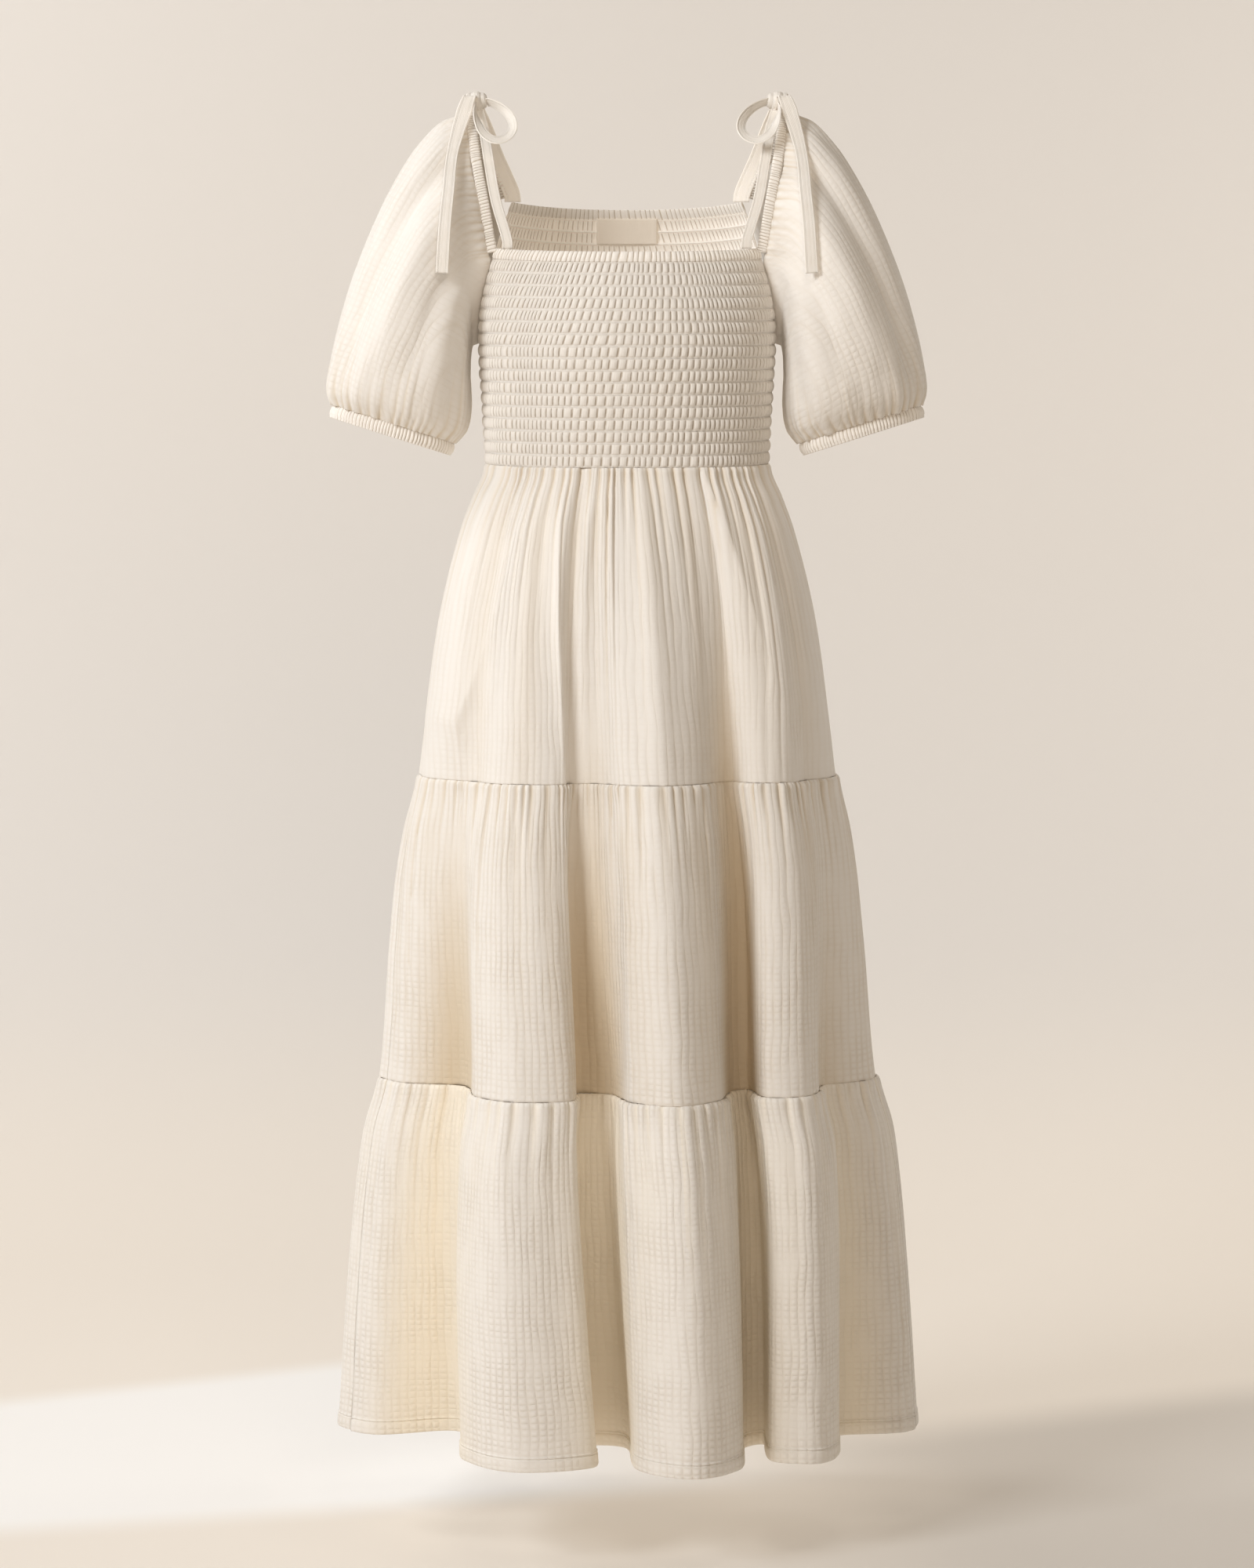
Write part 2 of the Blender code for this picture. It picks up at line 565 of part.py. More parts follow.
class Shoulder:
    """The sleeve, its elastic edges and the ties, built for one side with x outwards, and then placed."""

    def __init__(self, front, back):
        self.front, self.back = front, back
        edge, _ = flowing(EDGE_ROUTE, CURVE_STEPS)
        self.edge_path = evenly(edge, EDGE_STATIONS)

    def raglan(self, count):
        """The sleeve's seam line on the body: up the front, over the ruched edge and down the back."""
        _, across, _ = framed(self.edge_path, np.array([1.0, 0.0, 0.0]))
        beside = self.edge_path + across * (EDGE_WIDTH / 2 + EDGE_GAP)
        top = int(np.argmax(beside[:, 2]))
        ends = (FRONT_CORNER_COLUMN, SHOULDER_COLUMN, BACK_CORNER_COLUMN)
        loop = np.zeros((count, 3))
        loop[ends[0] : ends[1] + 1] = evenly(beside[: top + 1], ends[1] - ends[0] + 1)
        loop[ends[1] : ends[2] + 1] = evenly(beside[top:], ends[2] - ends[1] + 1)
        start = SLEEVE["inner_z"][0]
        before, behind = np.arange(0, ends[0]), np.arange(count, ends[2], -1)
        for half, columns in ((self.front, before), (self.back, behind)):
            share = np.abs(columns - columns[0]) / (len(columns) + CORNER_SHARE)
            height = start + (half.corner_height - start) * share
            seam = raglan_angle(height, half.corner_deg, half.corner_height)
            angle = np.maximum(seam - RAGLAN_GAP / RAGLAN_RADIUS, 0.0)
            if half.behind:
                angle = -angle
            plan, _ = body_xy(angle, height)
            loop[columns % count] = np.hstack([plan * (-1, 1), height[:, None]])
        return loop

    def surface(self, around, rings):
        """The sleeve's middle surface: shares of the way round by rings from the seam to the cuff."""
        ring = np.linspace(0, 1, len(SLEEVE_ROWS))
        shape = {name: eased(rings, ring, values) for name, values in SLEEVE.items()}
        inner = np.stack([shape["inner_x"], 0 * rings, shape["inner_z"]], axis=1)
        outer = np.stack([shape["outer_x"], 0 * rings, shape["outer_z"]], axis=1)
        middle, reach = (inner + outer) / 2, (outer - inner) / 2
        turn = 2 * math.pi * around
        grid = middle[:, None, :] - reach[:, None, :] * np.cos(turn)[None, :, None]
        forward = np.array([0.0, -1.0, 0.0])
        grid = grid + forward * shape["half_depth"][:, None, None] * np.sin(turn)[None, :, None]
        return grid

    def sleeve_grid(self):
        columns = 2 * SLEEVE_GATHERS
        around, rings = np.arange(columns) / columns, np.linspace(0, 1, len(SLEEVE_ROWS))
        grid = self.surface(around, rings)
        pulled = self.raglan(columns) - grid[0]
        grid = grid + pulled[None] * ((1 - rings) ** LOOP_PULL)[:, None, None]
        down = np.gradient(grid, axis=0)
        along = np.roll(grid, -1, axis=1) - np.roll(grid, 1, axis=1)
        normal = np.cross(down, along)
        middle = grid[-1].mean(axis=0)
        normal[-1] = grid[-1] - middle
        normal /= np.linalg.norm(normal, axis=2, keepdims=True)
        return grid, normal

    def sleeve(self):
        grid, normal = self.sleeve_grid()
        wave = np.where(np.arange(grid.shape[1]) % 2 == 0, -1.0, 1.0)[None, :]
        wave = wave * np.array(SLEEVE_GATHER_HEIGHTS)[:, None]
        wave[0] = 0.0
        wave[1:4, [-1, 0, 1]] = 0.0
        outer = grid + normal * (wave + SLEEVE_HALF_WALL)[..., None]
        inner = grid + normal * (wave - SLEEVE_HALF_WALL)[..., None]
        self.outside = outer
        return wall(outer, inner, wrap=True)

    def cuff(self):
        """The elastic cuff: a short tube square to the sleeve's last ring."""
        grid, normal = self.sleeve_grid()
        ring, out = grid[-1], normal[-1]
        inner = np.array([SLEEVE["inner_x"][-1], 0, SLEEVE["inner_z"][-1]])
        outer = np.array([SLEEVE["outer_x"][-1], 0, SLEEVE["outer_z"][-1]])
        axis = np.cross(outer - inner, (0.0, 1.0, 0.0))
        axis /= np.linalg.norm(axis)
        if axis[2] > 0:
            axis = -axis
        pucker = CUFF_PUCKER * (np.arange(len(ring)) % 2)[None, :, None]
        levels = np.array([SEAM_GAP, CUFF_HEIGHT])[:, None, None] * axis
        middle = ring[None] + levels
        return wall(middle + out * (CUFF_HALF_WALL + pucker), middle - out * CUFF_HALF_WALL, wrap=True)

    def ruched_edge(self):
        ripple = EDGE_RIPPLE * np.where(np.arange(EDGE_STATIONS) % 2 == 0, 1.0, -1.0)
        return strip(self.edge_path, np.array([1.0, 0.0, 0.0]), EDGE_WIDTH, EDGE_THICKNESS + ripple)

    def strap(self, half, foot_x, route):
        """A flat strap from its foot on a neck band up to the knot."""
        route = np.vstack([half.strap_foot(foot_x), route, seat_on_knot(route[-1])])
        path, _ = flowing(route, CURVE_STEPS)
        return strip(evenly(path, STRAP_STATIONS), np.array([1.0, 0.0, 0.0]), TAPE_WIDTH, TAPE_THICKNESS)

    def knot(self):
        """The wrapped end of the ties, as one rounded lump."""
        turn = np.arange(KNOT_COLUMNS) * 2 * math.pi / KNOT_COLUMNS
        made = Meshed()
        down = np.linspace(0, math.pi, KNOT_RINGS + 1)[1:-1]
        shell = np.stack(
            [
                -np.sin(down)[:, None] * np.cos(turn),
                -np.sin(down)[:, None] * np.sin(turn),
                np.cos(down)[:, None] + 0 * turn,
            ],
            axis=-1,
        )
        body = made.add(KNOT_CENTRE + KNOT_RADII * shell)
        poles = made.add(KNOT_CENTRE + KNOT_RADII * np.array([[[0, 0, 1.0]], [[0, 0, -1.0]]]))
        made.skin(body, True, wrap=True)
        made.skin(np.vstack([np.repeat(poles[0], KNOT_COLUMNS), body[0]]), True, wrap=True)
        made.skin(np.vstack([body[-1], np.repeat(poles[1], KNOT_COLUMNS)]), True, wrap=True)
        faces = np.vstack(made.faces)
        whole = (faces[:, 0] != faces[:, 1]) & (faces[:, 1] != faces[:, 2]) & (faces[:, 2] != faces[:, 0])
        made.faces = [faces[whole]]
        return made

    def loop(self):
        """The bow's one loop, out of the knot's inner side and back under its front."""
        route = np.array(LOOP_ROUTE)
        route = np.vstack([seat_on_knot(route[0]), route, seat_on_knot(route[-1])])
        path = evenly(flowing(route, CURVE_STEPS)[0], LOOP_STATIONS)
        centre = path.mean(axis=0)
        radial = (path - centre) * (1, 0, 1)
        radial /= np.linalg.norm(radial, axis=1, keepdims=True)
        rest = np.linspace(0, 1, LOOP_STATIONS)[:, None]
        tilt = np.array([0.0, 1.0, 0.0]) * LOOP_TILT - radial * (1 - LOOP_TILT)
        last = np.clip((rest - LOOP_TURN_FROM) / (1 - LOOP_TURN_FROM), 0, 1)
        across = tilt * (1 - last) + np.array([1.0, 0.0, 0.0]) * last
        return strip(path, across, TAPE_WIDTH, TAPE_THICKNESS)

    def tail(self):
        """The free end, in front of the sleeve and just clear of it."""
        near = self.outside.reshape(-1, 3)
        route = []
        for x, z in TAIL_ROUTE:
            apart = np.hypot(near[:, 0] - x, near[:, 2] - z)
            closest = near[(apart < TAIL_SEARCH) & (near[:, 1] < 0)]
            route.append((x, closest[:, 1].min() - TAIL_CLEARANCE, z))
        start = seat_on_knot(TAIL_START)
        ray = (start - KNOT_CENTRE) / np.linalg.norm(start - KNOT_CENTRE)
        route = [start, start + ray * TAIL_RISE] + route
        path = evenly(flowing(route, CURVE_STEPS)[0], TAIL_STATIONS)
        widths = np.linspace(TAPE_WIDTH, TAIL_END_WIDTH, TAIL_STATIONS)
        return strip(path, np.array([1.0, 0.0, 0.0]), widths, TAPE_THICKNESS)


def finish(name, colour, roughness):
    """A plain matt cloth colour."""
    made = bpy.data.materials.new(name)
    made.use_nodes = True
    shader = made.node_tree.nodes["Principled BSDF"]
    shader.inputs["Base Color"].default_value = (*colour, 1.0)
    shader.inputs["Roughness"].default_value = roughness
    shader.inputs["Metallic"].default_value = 0.0
    made.diffuse_color = (*colour, 1.0)
    return made


def build_bodice(cloth, label_cloth):
    front = Bodice(False, FRONT_TOP, FRONT_CORNER_DEG)
    back = Bodice(True, BACK_TOP, BACK_CORNER_DEG)
    front.shirred(FRONT_SHIRR_ROWS, FRONT_COLUMNS).place("bodice_front", cloth)
    back.shirred(BACK_SHIRR_ROWS, BACK_COLUMNS).place("bodice_back", cloth)
    front.band(FRONT_COLUMNS).place("neck_band_front", cloth)
    back.band(BACK_COLUMNS).place("neck_band_back", cloth)
    back.label().place("label", label_cloth)
    return front, back


def build_skirt(cloth):
    skirt = Skirt()
    for number, row in enumerate(TIER_ROWS, start=1):
        for behind, word in ((False, "front"), (True, "back")):
            skirt.tier(*row, behind).place(f"tier_{number}_{word}", cloth)


def build_shoulders(front, back, cloth, tape):
    for mirrored, word in ((True, "left"), (False, "right")):
        shoulder = Shoulder(front, back)
        shoulder.sleeve().place(f"sleeve_{word}", cloth, mirrored)
        shoulder.cuff().place(f"cuff_{word}", cloth, mirrored)
        shoulder.ruched_edge().place(f"sleeve_edge_{word}", cloth, mirrored)
        shoulder.strap(front, FRONT_FOOT_X, FRONT_STRAP_ROUTE).place(f"strap_front_{word}", tape, mirrored)
        shoulder.strap(back, BACK_FOOT_X, BACK_STRAP_ROUTE).place(f"strap_back_{word}", tape, mirrored)
        shoulder.knot().place(f"knot_{word}", tape, mirrored)
        shoulder.loop().place(f"loop_{word}", tape, mirrored)
        shoulder.tail().place(f"tail_{word}", tape, mirrored)


def main():
    for old in list(bpy.data.objects):
        bpy.data.objects.remove(old)
    cloth = finish("double_gauze", CREAM, 0.85)
    tape = finish("tape", CREAM_TAPE, 0.80)
    label_cloth = finish("label_cloth", LABEL_CREAM, 0.70)
    front, back = build_bodice(cloth, label_cloth)
    build_skirt(cloth)
    build_shoulders(front, back, cloth, tape)


main()
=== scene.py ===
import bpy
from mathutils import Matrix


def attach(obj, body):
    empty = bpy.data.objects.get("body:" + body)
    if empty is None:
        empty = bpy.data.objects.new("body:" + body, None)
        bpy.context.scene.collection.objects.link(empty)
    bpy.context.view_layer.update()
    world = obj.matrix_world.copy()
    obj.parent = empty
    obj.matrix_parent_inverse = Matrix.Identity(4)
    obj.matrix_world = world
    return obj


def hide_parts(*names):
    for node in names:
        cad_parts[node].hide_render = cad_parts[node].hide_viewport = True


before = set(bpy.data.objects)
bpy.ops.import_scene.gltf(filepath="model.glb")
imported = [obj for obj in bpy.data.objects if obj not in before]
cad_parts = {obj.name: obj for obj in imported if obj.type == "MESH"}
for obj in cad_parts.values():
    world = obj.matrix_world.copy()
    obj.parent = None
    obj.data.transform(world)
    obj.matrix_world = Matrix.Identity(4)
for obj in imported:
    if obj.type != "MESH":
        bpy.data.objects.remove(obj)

"""A tiered peasant dress in cream double gauze, as it is worn, over a pale studio floor.

Metres, +Z up, the front of the dress towards -Y. Each cloth piece is a closed thin shell on the form of its
CAD node, with its gathers, shirring and creases in the mesh and the gauze's crinkle in its finish.
"""

import logging
import math
from dataclasses import dataclass, field
from enum import Enum

import bpy
import numpy as np

Array = np.ndarray
LOG = logging.getLogger("peasant_dress")
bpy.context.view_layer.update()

# The dress's own sizes, which its CAD model has too
FRONT_TOP, BACK_TOP = -0.1605, -0.1075
UNDERARM, WAIST = -0.2470, -0.3640
SEAM_1, SEAM_2, HEM = -0.6820, -0.9930, -1.3550
ROW_SAG = 0.0060
BAND_HEIGHT = 0.0105
ROUNDNESS = 0.90
FRONT_CORNER_DEG, BACK_CORNER_DEG = 29.0, 39.5
SIDE_RADIUS = 0.15

BODY_COLUMNS = ("height", "half_width", "front", "back")
BODY_ROWS = (
    (-0.090, 0.149, 0.080, 0.080),
    (-0.150, 0.148, 0.092, 0.096),
    (-0.213, 0.150, 0.113, 0.102),
    (-0.250, 0.149, 0.117, 0.101),
    (-0.300, 0.146, 0.110, 0.094),
    (-0.366, 0.143, 0.100, 0.086),
    (-0.398, 0.155, 0.112, 0.098),
    (-0.430, 0.167, 0.124, 0.110),
    (-0.530, 0.192, 0.150, 0.138),
    (-0.645, 0.208, 0.170, 0.160),
    (-0.682, 0.213, 0.175, 0.166),
    (-0.735, 0.226, 0.186, 0.178),
    (-0.790, 0.236, 0.193, 0.187),
    (-0.856, 0.243, 0.199, 0.194),
    (-0.993, 0.255, 0.207, 0.203),
    (-1.047, 0.270, 0.218, 0.214),
    (-1.114, 0.280, 0.226, 0.222),
    (-1.194, 0.288, 0.231, 0.227),
    (-1.355, 0.299, 0.238, 0.232),
)

FOLD_COLUMNS = (
    "crest_x", "crest_y", "reach_back", "reach_on", "valley_x", "valley_y", "floor",
    "crest_deg", "valley_deg", "starts", "growth",
)
FOLD_ROWS = (
    (-0.298, -0.004, 0.045, 0.048, -0.168, -0.050, 0.014, -3, 36, 0.26, 0.8),
    (-0.108, -0.222, 0.070, 0.064, -0.024, -0.098, 0.020, 58, 78, 0.05, 1.2),
    (0.068, -0.247, 0.048, 0.052, 0.128, -0.092, 0.013, 94, 119, 0.00, 0.8),
    (0.192, -0.172, 0.036, 0.042, 0.212, -0.052, 0.010, 137, 153, 0.24, 0.9),
    (0.300, 0.024, 0.050, 0.046, 0.232, 0.092, 0.012, 183, 203, 0.30, 1.0),
    (0.212, 0.172, 0.044, 0.044, 0.150, 0.122, 0.016, 221, 238, 0.06, 1.2),
    (0.098, 0.226, 0.046, 0.040, 0.040, 0.136, 0.017, 252, 264, 0.16, 1.1),
    (-0.024, 0.230, 0.040, 0.044, -0.078, 0.138, 0.017, 276, 291, 0.03, 1.2),
    (-0.132, 0.213, 0.036, 0.038, -0.180, 0.126, 0.014, 304, 318, 0.20, 1.0),
    (-0.232, 0.150, 0.036, 0.034, -0.252, 0.076, 0.011, 330, 343, 0.10, 1.2),
)


class Finish(Enum):
    """The finishes that pieces choose from."""

    SHIRRED = "shirred_gauze"
    RIBBED = "ribbed_gauze"
    SOFT = "soft_gauze"
    CHECKED = "checked_gauze"
    # The back's two finishes are copies with a stronger painted glow.
    BACK = "back_shirred_gauze_painted_glow"
    BACK_TAPE_PAINTED_GLOW = "back_folded_tape_painted_glow"
    CRINKLED = "crinkled_gauze"
    TAPE = "folded_tape"
    LABEL = "label_cloth"


class Held(Enum):
    """How a sheet of cloth is held."""

    GATHERED = "gathered"
    HUNG = "hung"
    FOLDED = "folded"
    STRETCHED = "stretched"


def table(columns: tuple[str, ...], rows: tuple) -> dict[str, Array]:
    """The rows' values by the names of their columns."""
    return dict(zip(columns, np.array(rows, float).T))


BODY = table(BODY_COLUMNS, BODY_ROWS)
FOLDS = table(FOLD_COLUMNS, FOLD_ROWS)


def eased(x: Array, xs: Array, ys: Array) -> Array:
    """Reads a smooth curve that never overshoots its points.

    Args:
        x: where the curve is read.
        xs: the points' places, rising or falling.
        ys: the points' values.

    Returns:
        The curve's value at each x, held flat beyond the ends.
    """
    xs, ys = np.asarray(xs, float), np.asarray(ys, float)
    if xs[0] > xs[-1]:
        xs, ys = xs[::-1], ys[::-1]
    step, slope = np.diff(xs), np.diff(ys) / np.diff(xs)
    tangent = np.concatenate([[slope[0]], np.zeros(len(xs) - 2), [slope[-1]]])
    same = slope[:-1] * slope[1:] > 0
    share = 3 * (step[:-1] + step[1:])
    first, second = (2 * step[1:] + step[:-1]) / share, (step[1:] + 2 * step[:-1]) / share
    safe = np.where(same, slope[:-1], 1.0), np.where(same, slope[1:], 1.0)
    tangent[1:-1] = np.where(same, 1 / (first / safe[0] + second / safe[1]), 0.0)
    x = np.clip(np.asarray(x, float), xs[0], xs[-1])
    i = np.clip(np.searchsorted(xs, x) - 1, 0, len(xs) - 2)
    t = (x - xs[i]) / step[i]
    return (
        (2 * t**3 - 3 * t**2 + 1) * ys[i]
        + (t**3 - 2 * t**2 + t) * step[i] * tangent[i]
        + (3 * t**2 - 2 * t**3) * ys[i + 1]
        + (t**3 - t**2) * step[i] * tangent[i + 1]
    )


def flowing(points: Array, steps: int, closed: bool = False) -> tuple[Array, Array]:
    """Draws a smooth curve through points in any number of dimensions.

    Args:
        points: the points, one a row.
        steps: samples between two points.
        closed: whether the curve comes back to its first point.

    Returns:
        The samples, and the index of each point among them.
    """
    points = np.asarray(points, float)
    count = len(points)
    if closed:
        before, after = np.roll(points, 1, axis=0), np.roll(points, -1, axis=0)
    else:
        before = np.vstack([2 * points[0] - points[1], points[:-1]])
        after = np.vstack([points[1:], 2 * points[-1] - points[-2]])
    near = np.sqrt(np.linalg.norm(points - before, axis=1))[:, None]
    far = np.sqrt(np.linalg.norm(after - points, axis=1))[:, None]
    tangent = (points - before) / near - (after - before) / (near + far) + (after - points) / far
    t = np.linspace(0, 1, steps, endpoint=False)[:, None]
    samples = []
    for i in range(count if closed else count - 1):
        j = (i + 1) % count
        samples.append(
            (2 * t**3 - 3 * t**2 + 1) * points[i]
            + (t**3 - 2 * t**2 + t) * far[i] * tangent[i]
            + (3 * t**2 - 2 * t**3) * points[j]
            + (t**3 - t**2) * far[i] * tangent[j]
        )
    if not closed:
        samples.append(points[-1:])
    return np.vstack(samples), np.arange(count) * steps


def lengths(curve: Array) -> Array:
    """The distance run along an open curve at each of its points."""
    return np.concatenate([[0], np.cumsum(np.linalg.norm(np.diff(curve, axis=0), axis=1))])


def evenly(curve: Array, count: int) -> Array:
    """The open curve's points read again at even distances."""
    run = lengths(curve)
    at = np.linspace(0, run[-1], count)
    return np.stack([np.interp(at, run, axis) for axis in curve.T], axis=1)


def unit(vectors: Array) -> Array:
    """The vectors at length one."""
    return vectors / np.maximum(np.linalg.norm(vectors, axis=-1, keepdims=True), 1e-12)


def smoothstep(x: Array, low: float, high: float) -> Array:
    """A soft step from 0 at low to 1 at high."""
    t = np.clip((np.asarray(x, float) - low) / (high - low), 0, 1)
    return t * t * (3 - 2 * t)


def body_xy(angle: Array, height: Array) -> tuple[Array, Array]:
    """The body's plain ring at a height.

    Args:
        angle: radians round the dress, from its left side seam by the front.
        height: metres from the origin, negative below it.

    Returns:
        The points and their outward normals, in plan.
    """
    angle, height = np.broadcast_arrays(np.asarray(angle, float), np.asarray(height, float))
    across, forth = -np.cos(angle), -np.sin(angle)
    half = eased(height, BODY["height"], BODY["half_width"])
    before, behind = (eased(height, BODY["height"], BODY[side]) for side in ("front", "back"))
    depth = np.where(forth < 0, before, behind)
    x = half * np.sign(across) * np.abs(across) ** ROUNDNESS
    y = depth * np.sign(forth) * np.abs(forth) ** ROUNDNESS
    steep = 2 / ROUNDNESS - 1
    normal = np.stack(
        [
            np.sign(x) * np.abs(x / half) ** steep / half,
            np.sign(y) * np.abs(y / depth) ** steep / depth,
        ],
        axis=-1,
    )
    return np.stack([x, y], axis=-1), unit(normal)


def wandering(at: Array, pitch: float, seed: int) -> Array:
    """Smooth noise of about -1 to 1 along one direction, with knots a pitch apart."""
    at = np.asarray(at, float)
    low, high = float(at.min()), float(at.max())
    count = int((high - low) / pitch) + 4
    knots = low + pitch * (np.arange(count) - 1)
    values = np.random.default_rng(seed).uniform(-1, 1, count)
    return eased(at, knots, values)


class Shell:
    """A closed thin shell being made from an outer and an inner grid.

    A grid has seven values at each point: x, y, z, then u and v in metres on the cloth, how far the gauze's
    puckers have opened or, on shirring, their count along the row, and how deep in a gather the point lies.
    """

    def __init__(self) -> None:
        """Starts with no points."""
        self.rows: list[Array] = []
        self.quads: list[Array] = []
        self.triangles: list[Array] = []
        self.count = 0

    def add(self, grid: Array) -> Array:
        """Adds a grid of points and returns the grid of their numbers."""
        numbers = self.count + np.arange(grid.shape[0] * grid.shape[1]).reshape(grid.shape[:2])
        self.rows.append(grid.reshape(-1, grid.shape[-1]))
        self.count += numbers.size
        return numbers

    def skin(self, numbers: Array, outwards: bool, wrap: bool = False) -> None:
        """Faces a grid whose rows run down and whose columns run round by the front."""
        if wrap:
            numbers = np.hstack([numbers, numbers[:, :1]])
        a, b = numbers[:-1, :-1].ravel(), numbers[1:, :-1].ravel()
        c, d = numbers[1:, 1:].ravel(), numbers[:-1, 1:].ravel()
        found = np.stack((a, b, c, d), axis=1)
        self.quads.append(found if outwards else found[:, ::-1])

    def zip(self, outer: Array, inner: Array) -> None:
        """Closes one side between a row of outer and a row of inner numbers, whatever their counts."""
        i = j = 0
        found = []
        outer_at, inner_at = np.linspace(0, 1, len(outer)), np.linspace(0, 1, len(inner))
        while i < len(outer) - 1 or j < len(inner) - 1:
            outer_next = outer_at[i + 1] if i < len(outer) - 1 else 2.0
            inner_next = inner_at[j + 1] if j < len(inner) - 1 else 2.0
            if outer_next <= inner_next:
                found.append((outer[i], outer[i + 1], inner[j]))
                i += 1
            else:
                found.append((outer[i], inner[j + 1], inner[j]))
                j += 1
        self.triangles.append(np.array(found))

    def close(self, outer: Array, inner: Array, wrap: bool = False) -> "Shell":
        """Skins both grids and closes the wall between them.

        Args:
            outer: the grid of the outside.
            inner: the grid of the inside, of any size.
            wrap: whether the columns come back round to the first.

        Returns:
            The shell itself.
        """
        out, within = self.add(outer), self.add(inner)
        self.skin(out, True, wrap)
        self.skin(within, False, wrap)
        if wrap:
            out, within = np.hstack([out, out[:, :1]]), np.hstack([within, within[:, :1]])
        self.zip(out[0], within[0])
        self.zip(out[-1, ::-1], within[-1, ::-1])
        if not wrap:
            self.zip(out[:, -1], within[:, -1])
            self.zip(out[::-1, 0], within[::-1, 0])
        return self

    def mirror(self) -> "Shell":
        """Stands the shell on the other side of the dress."""
        self.rows = [grid * np.array([-1.0] + [1.0] * (grid.shape[1] - 1)) for grid in self.rows]
        self.quads = [found[:, ::-1] for found in self.quads]
        self.triangles = [found[:, ::-1] for found in self.triangles]
        return self

    def area(self) -> float:
        """Half the shell's surface in square metres, which is the area of its cloth."""
        points = np.vstack(self.rows)[:, :3]
        total = 0.0
        for faces in (*self.quads, *self.triangles):
            corners = points[faces]
            for k in range(1, corners.shape[1] - 1):
                cross = np.cross(corners[:, k] - corners[:, 0], corners[:, k + 1] - corners[:, 0])
                total += float(np.linalg.norm(cross, axis=1).sum()) / 2
        return total / 2

    def place(self, name: str, material: bpy.types.Material) -> bpy.types.Object:
        """Makes the object, with its cloth coordinates and its masks as attributes."""
        values = np.vstack(self.rows)
        faces = [*self.quads, *self.triangles]
        sizes = np.concatenate([np.full(len(found), found.shape[1]) for found in faces])
        corners = np.concatenate([found.ravel() for found in faces])
        mesh = bpy.data.meshes.new(name)
        mesh.vertices.add(len(values))
        mesh.vertices.foreach_set("co", values[:, :3].ravel())
        mesh.loops.add(len(corners))
        mesh.loops.foreach_set("vertex_index", corners.astype(np.int32))
        mesh.polygons.add(len(sizes))
        mesh.polygons.foreach_set("loop_start", np.concatenate([[0], np.cumsum(sizes)[:-1]]).astype(np.int32))
        mesh.update(calc_edges=True)
        mesh.validate()
        flat = mesh.uv_layers.new(name="cloth")
        uv = values[corners][:, 3:5]
        flat.data.foreach_set("uv", uv.ravel())
        for column, mask in ((5, "puckered"), (6, "depth")):
            layer = mesh.attributes.new(mask, "FLOAT", "POINT")
            layer.data.foreach_set("value", values[:, column].astype(np.float32))
        mesh.materials.append(material)
        mesh.shade_smooth()
        piece = bpy.data.objects.new(name, mesh)
        bpy.context.scene.collection.objects.link(piece)
        return piece


def seven(
    points: Array, u: Array, v: Array, puckered: Array | float = 0.0, depth: Array | float = 0.0
) -> Array:
    """A grid's points with its cloth coordinates and its masks beside them."""
    shape = points.shape[:2]
    extra = [np.broadcast_to(np.asarray(value, float), shape)[..., None] for value in (u, v, puckered, depth)]
    return np.concatenate([points, *extra], axis=-1)


